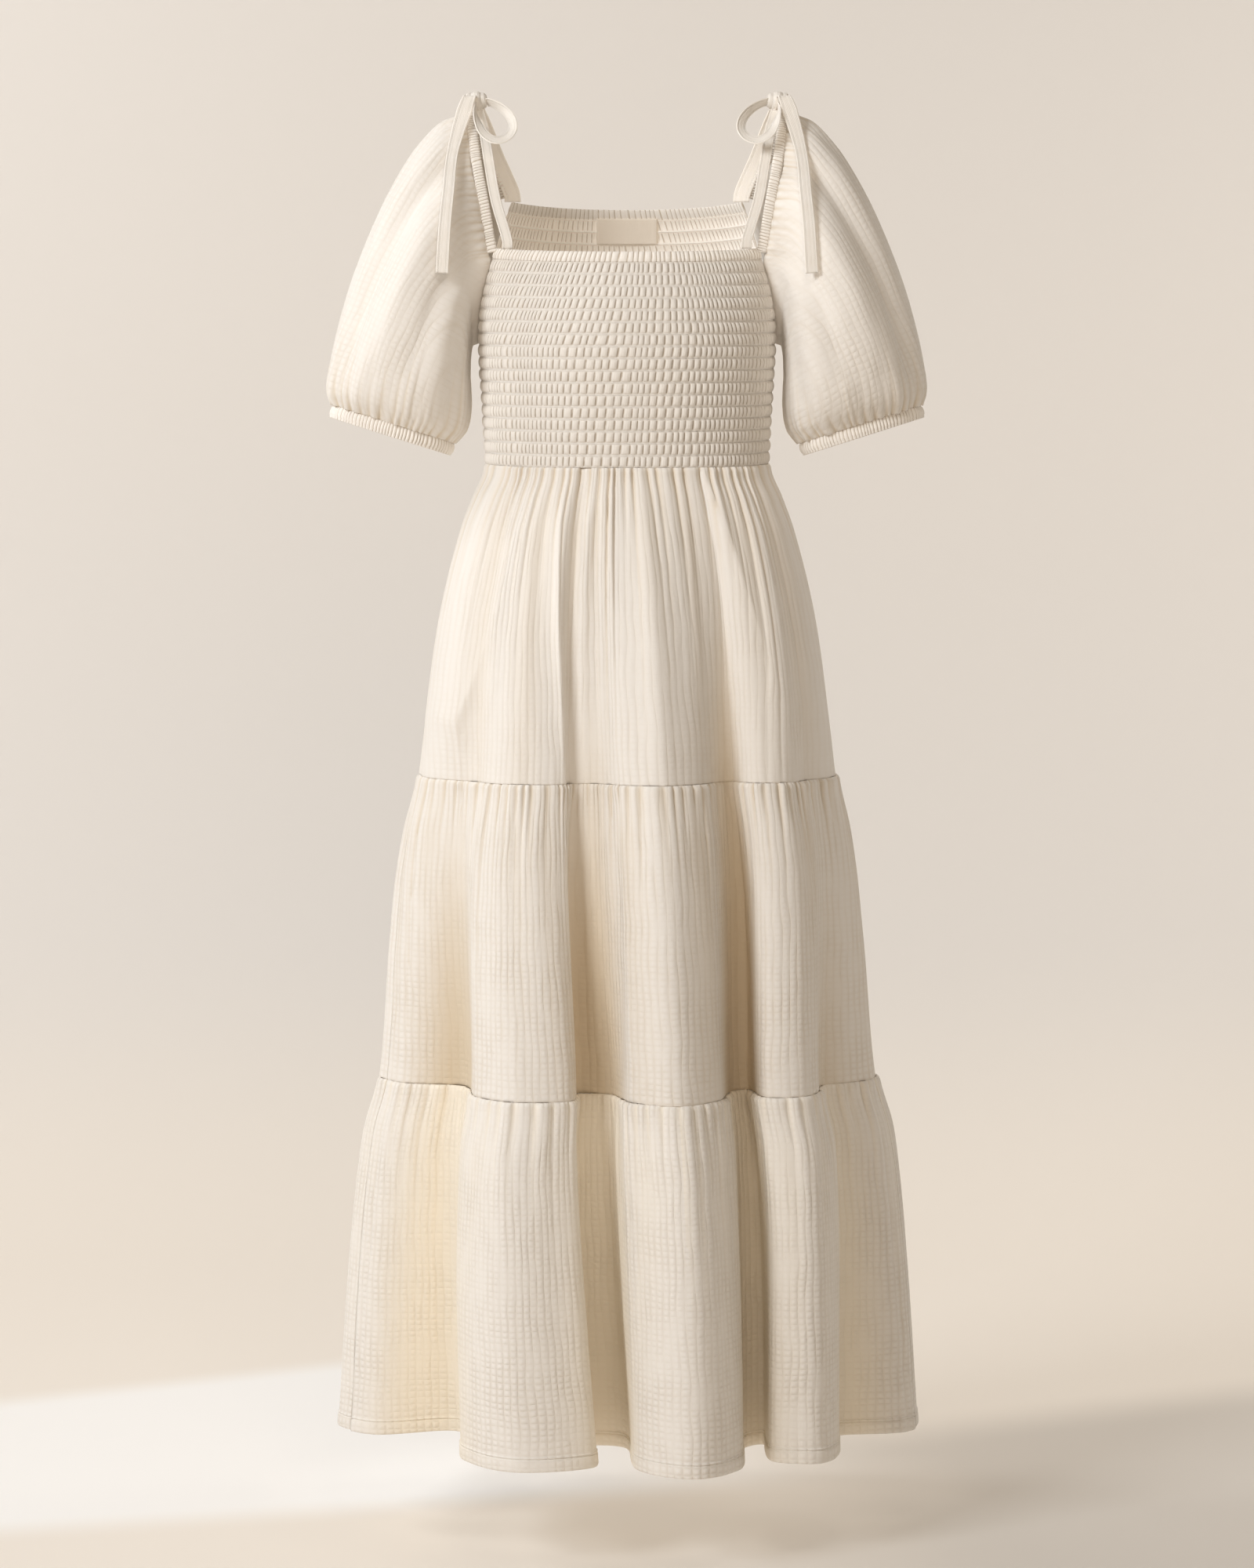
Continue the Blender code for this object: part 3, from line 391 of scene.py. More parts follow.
class Nodes:
    """Short words for building a material's nodes."""

    def __init__(self, name: str) -> None:
        """Starts a material with its shader."""
        self.material = bpy.data.materials.new(name)
        self.material.use_nodes = True
        self.tree = self.material.node_tree
        self.shader = self.tree.nodes["Principled BSDF"]

    def link(self, source: bpy.types.NodeSocket, target: bpy.types.NodeSocket) -> None:
        """Joins two sockets."""
        self.tree.links.new(source, target)

    def feed(self, target: bpy.types.NodeSocket, value: bpy.types.NodeSocket | float) -> None:
        """Sets a socket to a number or links it to another."""
        if isinstance(value, bpy.types.NodeSocket):
            self.link(value, target)
        else:
            target.default_value = value

    def math(self, operation: str, *values: bpy.types.NodeSocket | float) -> bpy.types.NodeSocket:
        """A Math node's result."""
        node = self.tree.nodes.new("ShaderNodeMath")
        node.operation = operation
        for socket, value in zip(node.inputs, values):
            self.feed(socket, value)
        return node.outputs[0]

    def attribute(self, name: str) -> bpy.types.NodeSocket:
        """A mesh mask's value."""
        node = self.tree.nodes.new("ShaderNodeAttribute")
        node.attribute_name = name
        return node.outputs["Fac"]

    def cloth_uv(self) -> tuple[bpy.types.NodeSocket, bpy.types.NodeSocket, bpy.types.NodeSocket]:
        """The metres round and down the cloth, and both as one vector."""
        node = self.tree.nodes.new("ShaderNodeUVMap")
        node.uv_map = "cloth"
        parts = self.tree.nodes.new("ShaderNodeSeparateXYZ")
        self.link(node.outputs["UV"], parts.inputs[0])
        return parts.outputs["X"], parts.outputs["Y"], node.outputs["UV"]

    def noise(self, vector: bpy.types.NodeSocket, scale: float, detail: float = 1.0) -> bpy.types.NodeSocket:
        """Noise about 0.5, at a number of lumps a metre."""
        node = self.tree.nodes.new("ShaderNodeTexNoise")
        node.inputs["Scale"].default_value = scale
        node.inputs["Detail"].default_value = detail
        self.link(vector, node.inputs["Vector"])
        return node.outputs["Fac"]

    def stretched(self, vector: bpy.types.NodeSocket, across: float, down: float) -> bpy.types.NodeSocket:
        """The vector with its two directions scaled apart."""
        node = self.tree.nodes.new("ShaderNodeVectorMath")
        node.operation = "MULTIPLY"
        node.inputs[1].default_value = (across, down, 1.0)
        self.link(vector, node.inputs[0])
        return node.outputs[0]

    def swing(self, vector: bpy.types.NodeSocket, scale: float, reach: float) -> bpy.types.NodeSocket:
        """Noise about 0, that swings by half its reach to each side."""
        return self.math("MULTIPLY", self.math("SUBTRACT", self.noise(vector, scale), 0.5), reach)

    def ramp(self, value: bpy.types.NodeSocket, low: float, high: float) -> bpy.types.NodeSocket:
        """A soft step of a value, from 0 at low to 1 at high."""
        node = self.tree.nodes.new("ShaderNodeMapRange")
        node.interpolation_type = "SMOOTHSTEP"
        self.link(value, node.inputs["Value"])
        node.inputs["From Min"].default_value = low
        node.inputs["From Max"].default_value = high
        return node.outputs["Result"]

    def mix(
        self, share: bpy.types.NodeSocket | float, low: tuple | bpy.types.NodeSocket, high: tuple
    ) -> bpy.types.NodeSocket:
        """A colour between two, by a share that is held from 0 to 1."""
        node = self.tree.nodes.new("ShaderNodeMix")
        node.data_type = "RGBA"
        node.clamp_factor = True
        self.feed(node.inputs["Factor"], share)
        self.feed(node.inputs[6], low if isinstance(low, bpy.types.NodeSocket) else (*low, 1.0))
        node.inputs[7].default_value = (*high, 1.0)
        return node.outputs[2]

    def bump(self, height: bpy.types.NodeSocket, distance: float, strength: float = 1.0) -> None:
        """Raises the surface by a height of 0 to 1 over a distance in metres."""
        node = self.tree.nodes.new("ShaderNodeBump")
        node.inputs["Distance"].default_value = distance
        node.inputs["Strength"].default_value = strength
        self.link(height, node.inputs["Height"])
        self.link(node.outputs["Normal"], self.shader.inputs["Normal"])

    def weave(self, pitch: float, height: float) -> bpy.types.NodeSocket:
        """The threads of a plain weave, a pitch apart both ways."""
        u, v, _ = self.cloth_uv()
        threads = [self.math("SINE", self.math("DIVIDE", along, pitch / (2 * math.pi))) for along in (u, v)]
        return self.math("MULTIPLY", self.math("ADD", *threads), height)

    def painted_glow(self, colour: tuple[float, float, float], strength: float) -> None:
        """Adds painted light: an even glow of one colour from the whole surface."""
        self.shader.inputs["Emission Color"].default_value = (*colour, 1.0)
        self.shader.inputs["Emission Strength"].default_value = strength

    def cloth(self, lit: tuple[float, float, float], sheen: float, specular: float) -> bpy.types.Material:
        """Sets the sheen, the shine and the plain view's colour, and returns the finished material."""
        self.shader.inputs["Sheen Weight"].default_value = sheen
        self.shader.inputs["Specular IOR Level"].default_value = specular
        self.material.diffuse_color = (*lit, 1.0)
        return self.material


@dataclass(frozen=True)
class GauzeFinish:
    """Cream double gauze: two thin cottons tacked together, with upright crinkles that open into puckers."""

    name: str
    lit: tuple[float, float, float] = (0.890, 0.857, 0.812)
    # The next two colours are painted shade: the first darkens the crinkle's hollows, by the lines share
    # below, and the second darkens points deep in gathers and large folds, by the share after it.
    pit_shade_and_tone: tuple[float, float, float] = (0.790, 0.725, 0.640)
    deep: tuple[float, float, float] = (0.790, 0.660, 0.480)
    painted_shade_share: float = 0.90
    roughness: float = 0.92
    sheen: float = 0.10
    ridge_pitch: float = 0.0072
    check_pitch: float = 0.0064
    weave_pitch: float = 0.0009
    relief: float = 0.00085
    crinkle: float = 1.0
    rumple: float = 0.35
    lines: float = 0.75

    def cells(self, nodes: Nodes, flat: bpy.types.NodeSocket) -> bpy.types.NodeSocket:
        """The crinkle: upright ridges, crossed by level ones where the puckers have opened."""
        u, v, _ = nodes.cloth_uv()
        drift = nodes.swing(nodes.stretched(flat, 1.0, 0.45), 40.0, 3.0)
        sway = nodes.swing(nodes.stretched(flat, 0.5, 1.0), 50.0, 2.6)
        turn = nodes.math("ADD", nodes.math("DIVIDE", u, self.ridge_pitch / math.pi), drift)
        step = nodes.math("ADD", nodes.math("DIVIDE", v, self.check_pitch / math.pi), sway)
        upright = nodes.math("POWER", nodes.math("ABSOLUTE", nodes.math("SINE", turn)), 0.8)
        level = nodes.math("POWER", nodes.math("ABSOLUTE", nodes.math("SINE", step)), 0.8)
        crossed = nodes.math("MULTIPLY", nodes.attribute("puckered"), nodes.math("SUBTRACT", 1.0, level))
        kept = nodes.math("SUBTRACT", 1.0, nodes.math("MULTIPLY", crossed, 0.90))
        return nodes.math("MULTIPLY", upright, kept)

    def make(self) -> bpy.types.Material:
        """Builds the material."""
        nodes = Nodes(self.name)
        _, _, flat = nodes.cloth_uv()
        cell = self.cells(nodes, flat)
        along = nodes.ramp(nodes.noise(nodes.stretched(flat, 1.0, 0.35), 75.0, 2.0), 0.36, 0.62)
        patch = nodes.ramp(nodes.noise(nodes.stretched(flat, 1.0, 0.6), 14.0, 2.0), 0.34, 0.66)
        strength = nodes.math("ADD", nodes.math("MULTIPLY", along, 0.45), nodes.math("MULTIPLY", patch, 0.55))
        strength = nodes.math("MULTIPLY", nodes.math("ADD", strength, 0.25), self.crinkle)
        crinkle = nodes.math("MULTIPLY", cell, strength)
        lumps = nodes.noise(nodes.stretched(flat, 1.0, 0.35), 120.0, 2.0)
        rumple = nodes.math("MULTIPLY", lumps, self.rumple)
        weave = nodes.weave(self.weave_pitch, 0.020)
        nodes.bump(nodes.math("ADD", nodes.math("ADD", crinkle, rumple), weave), self.relief)
        # Painted shade: the crinkle's hollows are darkened towards the pit colour, then points deep in
        # gathers and large folds towards the deep colour.
        dent = nodes.math("MULTIPLY", nodes.math("SUBTRACT", 1.0, cell), strength)
        shade = nodes.math("SUBTRACT", 1.0, nodes.math("MULTIPLY", dent, self.lines))
        colour = nodes.mix(shade, self.pit_shade_and_tone, self.lit)
        colour = nodes.mix(nodes.math("MULTIPLY", nodes.attribute("depth"), self.painted_shade_share), colour, self.deep)
        nodes.link(colour, nodes.shader.inputs["Base Color"])
        rough = nodes.math("ADD", self.roughness - 0.05, nodes.math("MULTIPLY", patch, 0.08))
        nodes.link(rough, nodes.shader.inputs["Roughness"])
        nodes.shader.inputs["Sheen Roughness"].default_value = 0.6
        return nodes.cloth(self.lit, self.sheen, 0.18)


@dataclass(frozen=True)
class ShirredFinish:
    """Gauze drawn up by rows of elastic thread, with a slot between every two puckers.

    Its "puckered" mask counts the puckers along a row, and its v runs down by the row pitch at each thread.
    Bands and cuffs have ribs and no threads. The slots, a fine line in each pucker and a thin line under each
    thread are darkened as painted shade, and the glow is painted light that brightens the piece.
    """

    name: str
    lit: tuple[float, float, float] = (0.890, 0.857, 0.812)
    # The slot colour is painted shade.
    slot: tuple[float, float, float] = (0.480, 0.400, 0.310)
    row_pitch: float = 0.012
    relief: float = 0.0011
    # The glow is painted light: an even glow that brightens the piece.
    painted_glow: float = 0.0
    threads: bool = True

    def make(self) -> bpy.types.Material:
        """Builds the material."""
        nodes = Nodes(self.name)
        _, v, flat = nodes.cloth_uv()
        local = nodes.math("FRACT", nodes.attribute("puckered"))
        row = nodes.math("FRACT", nodes.math("ADD", nodes.math("DIVIDE", v, self.row_pitch), 0.5))
        from_thread = nodes.math("ABSOLUTE", nodes.math("SUBTRACT", row, 0.5))
        thread = nodes.ramp(from_thread, 0.055, 0.020) if self.threads else 0.0
        belly = nodes.ramp(from_thread, 0.055, 0.200) if self.threads else 1.0
        edge = nodes.math("ABSOLUTE", nodes.math("SUBTRACT", local, 0.5))
        slot = nodes.math("MULTIPLY", nodes.ramp(edge, 0.34, 0.495), belly)
        from_fine = nodes.math("ABSOLUTE", nodes.math("SUBTRACT", local, 0.40))
        fine = nodes.math("MULTIPLY", nodes.ramp(from_fine, 0.09, 0.0), belly)
        uneven = nodes.ramp(nodes.noise(nodes.stretched(flat, 1.0, 0.6), 160.0, 2.0), 0.30, 0.62)
        drawn = nodes.math("MULTIPLY", slot, nodes.math("ADD", nodes.math("MULTIPLY", uneven, 0.45), 0.50))
        # A thin painted shadow just under each thread.
        lower = nodes.math("MULTIPLY", nodes.ramp(row, 0.54, 0.575), nodes.ramp(row, 0.66, 0.60))
        lower = lower if self.threads else 0.0
        # Painted shade: the slots, a fine line in each pucker and the line under each thread darken the
        # colour towards the slot colour.
        dark = nodes.math("ADD", drawn, nodes.math("MULTIPLY", fine, 0.13))
        dark = nodes.math("ADD", dark, nodes.math("MULTIPLY", lower, 0.20))
        nodes.link(nodes.mix(dark, self.lit, self.slot), nodes.shader.inputs["Base Color"])
        height = nodes.math("MULTIPLY", belly, 0.28)
        height = nodes.math("SUBTRACT", height, nodes.math("MULTIPLY", slot, 0.60))
        height = nodes.math("SUBTRACT", height, nodes.math("MULTIPLY", fine, 0.14))
        height = nodes.math("ADD", height, nodes.math("MULTIPLY", thread, 0.30))
        nodes.painted_glow((1.0, 0.82, 0.62), self.painted_glow)
        grain = nodes.math("MULTIPLY", nodes.noise(flat, 900.0, 2.0), 0.10)
        nodes.bump(nodes.math("ADD", height, grain), self.relief)
        nodes.shader.inputs["Roughness"].default_value = 0.9
        return nodes.cloth(self.lit, 0.08, 0.18)


@dataclass(frozen=True)
class TapeFinish:
    """Flat cotton tape or woven label: a close weave, with two rows of stitches where it has them."""

    name: str
    lit: tuple[float, float, float] = (0.935, 0.908, 0.868)
    pit_shade_and_tone: tuple[float, float, float] = (0.840, 0.785, 0.705)
    roughness: float = 0.86
    weave_pitch: float = 0.0008
    stitch_pitch: float = 0.0024
    stitched: float = 1.0
    # The glow is painted light: an even glow that brightens the tape.
    painted_glow: float = 0.04

    def make(self) -> bpy.types.Material:
        """Builds the material."""
        nodes = Nodes(self.name)
        _, v, flat = nodes.cloth_uv()
        depth = nodes.attribute("depth")
        slub = nodes.noise(nodes.stretched(flat, 1.0, 0.2), 420.0, 2.0)
        cloud = nodes.noise(flat, 60.0, 2.0)
        beat = nodes.math("SINE", nodes.math("DIVIDE", v, self.stitch_pitch / (2 * math.pi)))
        sewn = nodes.math("MULTIPLY", depth, self.stitched)
        sewn = nodes.math("MULTIPLY", sewn, nodes.math("GREATER_THAN", beat, -0.2))
        height = nodes.math("ADD", nodes.weave(self.weave_pitch, 0.10), nodes.math("MULTIPLY", slub, 0.55))
        height = nodes.math("ADD", height, nodes.math("MULTIPLY", sewn, 0.9))
        nodes.bump(height, 0.00045)
        nodes.painted_glow((1.0, 0.84, 0.66), self.painted_glow)
        shade = nodes.math("ADD", nodes.math("MULTIPLY", slub, 0.5), nodes.math("MULTIPLY", cloud, 0.7))
        colour = nodes.mix(nodes.math("MINIMUM", nodes.math("MAXIMUM", shade, 0.0), 1.0), self.pit_shade_and_tone, self.lit)
        nodes.link(colour, nodes.shader.inputs["Base Color"])
        rough = nodes.math("ADD", self.roughness - 0.04, nodes.math("MULTIPLY", cloud, 0.08))
        nodes.link(rough, nodes.shader.inputs["Roughness"])
        return nodes.cloth(self.lit, 0.08, 0.22)


# Every finish's glow is painted light, and the back bodice and the back straps take copies with a stronger
# painted glow. The slot, pit and deep colours of the gauzes are painted shade, the deep one darker on the
# second tier and paler on the third.
FINISHES = {
    Finish.SHIRRED: ShirredFinish("shirred_gauze", lit=(0.870, 0.832, 0.780)),
    Finish.BACK: ShirredFinish("back_shirred_gauze_painted_glow", painted_glow=0.17),
    Finish.RIBBED: ShirredFinish(
        "ribbed_gauze", slot=(0.560, 0.480, 0.385), threads=False, relief=0.0007, painted_glow=0.06
    ),
    Finish.SOFT: GauzeFinish("soft_gauze", deep=(0.700, 0.585, 0.425), relief=0.00050, lines=0.45),
    Finish.CHECKED: GauzeFinish(
        "checked_gauze", pit_shade_and_tone=(0.800, 0.745, 0.675), deep=(0.925, 0.840, 0.690), painted_shade_share=0.75, relief=0.00080,
        lines=0.85, rumple=0.55,
    ),
    Finish.CRINKLED: GauzeFinish("crinkled_gauze", deep=(0.690, 0.575, 0.415), relief=0.00066, rumple=0.50),
    Finish.TAPE: TapeFinish("folded_tape"),
    Finish.BACK_TAPE_PAINTED_GLOW: TapeFinish("back_folded_tape_painted_glow", painted_glow=0.19),
    Finish.LABEL: TapeFinish(
        "label_cloth", lit=(0.88, 0.81, 0.72), pit_shade_and_tone=(0.82, 0.75, 0.65), stitched=0.0, painted_glow=0.12
    ),
}


@dataclass
class Wardrobe:
    """Makes each finish once and places every piece on its body in place of its CAD node."""

    made: dict[Finish, bpy.types.Material] = field(default_factory=dict)

    def finish(self, choice: Finish) -> bpy.types.Material:
        """The material of a finish."""
        if choice not in self.made:
            self.made[choice] = FINISHES[choice].make()
        return self.made[choice]

    def dress(
        self,
        shell: Shell,
        node: str,
        choice: Finish,
        flat: tuple[float, float],
        area: float | None = None,
    ) -> bpy.types.Object:
        """Places one cloth piece for its CAD node.

        Args:
            shell: the finished shell.
            node: the CAD node that it stands for.
            choice: its finish.
            flat: the width and length of the cloth as it was cut, in metres.
            area: the cut's area in square metres where it isn't a rectangle.

        Returns:
            The object.
        """
        piece = shell.place(f"{node}_cloth", self.finish(choice))
        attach(piece, "root")
        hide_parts(node)
        cut = area if area else flat[0] * flat[1]
        LOG.info("%s: %d faces, cloth %.4f of %.4f m2", node, len(piece.data.polygons), shell.area(), cut)
        return piece


def raglan_angle(height: Array, corner_deg: float, corner_height: float) -> Array:
    """How far from the side seam the raglan seam lies at a height, in radians."""
    share = np.clip((height - UNDERARM) / (corner_height - UNDERARM), 0, 1)
    return math.radians(corner_deg) * share


@dataclass
class Bodice:
    """One shirred half of the bodice with its neck band."""

    behind: bool
    top: float
    corner_deg: float
    rows: int
    cells: int
    row_samples: int
    cell_samples: int
    puff: float = 0.0030
    half_wall: float = 0.0009
    seam_gap: float = 0.0001
    lean: float = 0.30
    stagger: float = 0.6
    row_pitch: float = 0.012
    band_ribs: int = 62
    seed: int = 7

    @property
    def corner_height(self) -> float:
        """Where the raglan seam meets the neck band's top."""
        return self.top + BAND_HEIGHT

    def at(self, across: Array, height: Array, out: Array) -> Array:
        """Points on the half body.

        Args:
            across: shares of the way from the left side to the right, seen from outside the front.
            height: heights at the side edges.
            out: distances outwards.

        Returns:
            The points.
        """
        across, height = np.broadcast_arrays(np.asarray(across, float), np.asarray(height, float))
        seam = raglan_angle(height, self.corner_deg, self.corner_height)
        edge = np.maximum(seam, self.seam_gap / SIDE_RADIUS)
        angle = edge + (math.pi - 2 * edge) * across + (math.pi if self.behind else 0.0)
        sagged = height - ROW_SAG * (1 - (2 * across - 1) ** 2)
        plan, normal = body_xy(angle, sagged)
        return np.concatenate([plan + normal * np.asarray(out)[..., None], sagged[..., None]], axis=-1)

    def puckers(self, across: Array, down: Array) -> tuple[Array, Array]:
        """The shirring's relief.

        Args:
            across: shares of the way across, one row.
            down: shares of the way down, one column.

        Returns:
            The relief in metres, and the count of puckers up to each point along its row.
        """
        rng = np.random.default_rng(self.seed)
        line = down * self.rows
        number = np.minimum(np.floor(line), self.rows - 1).astype(int)
        within = np.clip(line - number, 0, 1)
        relief = np.zeros((down.size, across.size))
        count = np.zeros_like(relief)
        side = 1 - np.abs(2 * across[0] - 1) ** 2
        shared = wandering(across[0] * self.cells, 4.0, self.seed * 7)
        for row in range(self.rows):
            mine = np.nonzero(number[:, 0] == row)[0]
            if not len(mine):
                continue
            slack = wandering(across[0] * self.cells, 2.4, self.seed * 100 + row)
            start = rng.uniform(-0.5, 0.5) * self.stagger
            phase = across[0] * self.cells + start + 0.55 * shared + 0.26 * slack
            tall = 0.86 + 0.14 * wandering(phase, 1.0, self.seed * 31 + row)
            s = within[mine]
            slant = self.lean * (1 - 0.7 * row / self.rows)
            turned = phase[None, :] + slant * side[None, :] * (s - 0.5)
            cell = np.abs(np.sin(math.pi * turned)) ** 0.7
            belly = np.sin(math.pi * s) ** 0.6
            relief[mine] = belly * (0.05 + tall[None, :] * 0.95 * cell)
            count[mine] = turned
        edge = np.minimum(1.0, np.minimum(across, 1 - across) * 40)
        return relief * self.puff * (0.35 + 0.65 * edge), count

    def row_shares(self) -> Array:
        """Shares of the way down, closer together beside each thread."""
        step = np.linspace(0, 1, self.row_samples, endpoint=False)
        eased_step = step - 0.09 * np.sin(2 * math.pi * step)
        shares = (np.arange(self.rows)[:, None] + eased_step[None, :]).ravel() / self.rows
        return np.append(shares, 1.0)

    def sheet(self) -> Shell:
        """The shirred wall, with the same puckers inside that the real cloth shows."""
        down = self.row_shares()[:, None]
        across = np.linspace(0, 1, self.cells * self.cell_samples + 1)[None, :]
        height = self.top + (WAIST - self.top) * down
        relief, count = self.puckers(across, down)
        outer = self.at(across, height, relief - 0.0006 + self.half_wall)
        inner = self.at(across, height, relief * 0.8 - 0.0010 - self.half_wall)
        u, v = across * 0.42, down * self.rows * self.row_pitch
        skin, lining = seven(outer, u, v, count), seven(inner, u, v, count)
        if not self.behind:
            lining = lining[:: self.row_samples, :: self.cell_samples // 2]
        return Shell().close(skin, lining)

    def band(self) -> Shell:
        """The elastic neck band: a rolled casing with close upright ribs."""
        section = np.linspace(0, 1, 10)[:, None]
        across = np.linspace(0, 1, self.band_ribs * 6 + 1)[None, :]
        wobble = wandering(across[0] * self.band_ribs, 2.2, self.seed + 3)[None, :]
        count = across * self.band_ribs + 0.35 * wobble + 0.25 * section
        rib = np.abs(np.sin(math.pi * count)) ** 0.9
        height = self.top + BAND_HEIGHT * (1 - section) + 0.0001
        belly = np.sin(math.pi * np.clip(section, 0.02, 0.98)) ** 0.45
        strength = 1.0 if not self.behind else 0.45
        out = 0.0004 + belly * 0.0011 + strength * 0.0015 * rib * belly
        stitch = np.exp(-(((section - 0.90) / 0.05) ** 2))
        outer = self.at(across, height, out - 0.0006 * stitch)
        inner = self.at(across, height, -(0.0004 + belly * 0.0010 + 0.4 * strength * 0.0011 * rib * belly))
        u, v = across * 0.30, -height
        return Shell().close(seven(outer, u, v, count), seven(inner, u, v, count))

    def label(self, width: float, tall: float, top: float, depth: float, thickness: float) -> Shell:
        """The blank label on the inside, sewn along its top and hanging free below."""
        share = np.linspace(0, 1, 21)[:, None]
        heights = top - tall * share + ROW_SAG
        edge = raglan_angle(heights, self.corner_deg, self.corner_height)
        half = eased(heights, BODY["height"], BODY["half_width"])
        side = np.linspace(-1, 1, 45)[None, :]
        x = width / 2 * side
        turn = np.sign(x) * np.arcsin(np.abs(x / half) ** (1 / ROUNDNESS))
        across = 0.5 + turn / (math.pi - 2 * edge)
        bow = 0.0005 * share * np.cos(math.pi * side * 0.9) + 0.0004 * share**2
        lying = -0.0009 - depth - bow
        rim = np.minimum(1.0, np.minimum(1 - np.abs(side), np.minimum(share, 1 - share) * 0.8 + 0.02) * 20)
        half_thick = thickness / 2 * (0.35 + 0.65 * rim)
        middle = lying + thickness / 2
        outer = self.at(across, heights, middle + half_thick)
        inner = self.at(across, heights, middle - half_thick)
        return Shell().close(seven(outer, x, -heights), seven(inner, x, -heights))

    def strap_foot(self, x: float, seat: float, rise: float) -> Array:
        """The place on top of the band where a strap is sewn on, with the point that its path rises to."""
        across = np.linspace(0.0, 0.5, 400) + (0.0 if self.behind else 0.5)
        top = self.at(across, self.corner_height, 0 * across)
        place = top[np.argmin(np.abs(top[:, 0] - x))]
        return np.array([place + (0, 0, seat), place + (0, 0, seat + rise)])

    def strap_slope(self, x: float) -> Array:
        """How the band's top runs on in depth beside a strap's foot, for each metre sideways."""
        ends = [self.strap_foot(x + step, 0.0, 0.0)[0] for step in (-0.006, 0.006)]
        return np.array([0.0, (ends[1][1] - ends[0][1]) / (ends[1][0] - ends[0][0]), 0.0])


@dataclass(frozen=True)
class Crease:
    """One soft crease: shares of the piece's width and length, then metres outwards."""

    at: float
    lean: float
    start: float
    end: float
    depth: float
    width: float

    def relief(self, across: Array, down: Array) -> Array:
        """The crease's own relief over a grid of shares."""
        span = np.clip((down - self.start) / (self.end - self.start), 0, 1)
        along = np.sin(math.pi * span) ** 0.8
        middle = self.at + self.lean * (down - self.start)
        return self.depth * along * np.exp(-(((across - middle) / self.width) ** 2))


@dataclass(frozen=True)
class Gathers:
    """Uneven gathers that leave a seam and fade at their own lengths."""

    count: int
    height: float
    reach: float
    seed: int
    rise: float = 0.004
    at_seam: float = 0.45
    sharp: float = 0.75

    def relief(self, across: Array, away: Array) -> tuple[Array, Array]:
        """The gathers' relief.

        Args:
            across: shares of the way along the seam.
            away: metres from the seam.

        Returns:
            The relief in metres, and how deep between two gathers each point lies.
        """
        rng = np.random.default_rng(self.seed)
        widths = rng.uniform(0.5, 1.5, self.count)
        edges = np.concatenate([[0], np.cumsum(widths)]) / widths.sum()
        tall = rng.uniform(0.35, 1.0, self.count)
        reach = self.reach * rng.lognormal(0.0, 0.5, self.count)
        across, away = np.broadcast_arrays(np.asarray(across, float), np.asarray(away, float))
        drift = rng.normal(0.0, 0.9, self.count + 1) / self.count
        moved = across - np.interp(across, edges, drift) * away
        k = np.clip(np.searchsorted(edges, moved.ravel()) - 1, 0, self.count - 1).reshape(moved.shape)
        local = np.clip((moved - edges[k]) / (edges[k + 1] - edges[k]), 0, 1)
        ridge = np.sin(math.pi * local) ** self.sharp
        start = self.at_seam + (1 - self.at_seam) * smoothstep(away, 0, self.rise)
        fade = start * np.exp(-((away / reach[k]) ** 1.15))
        return self.height * tall[k] * ridge * fade, (1 - ridge) * fade


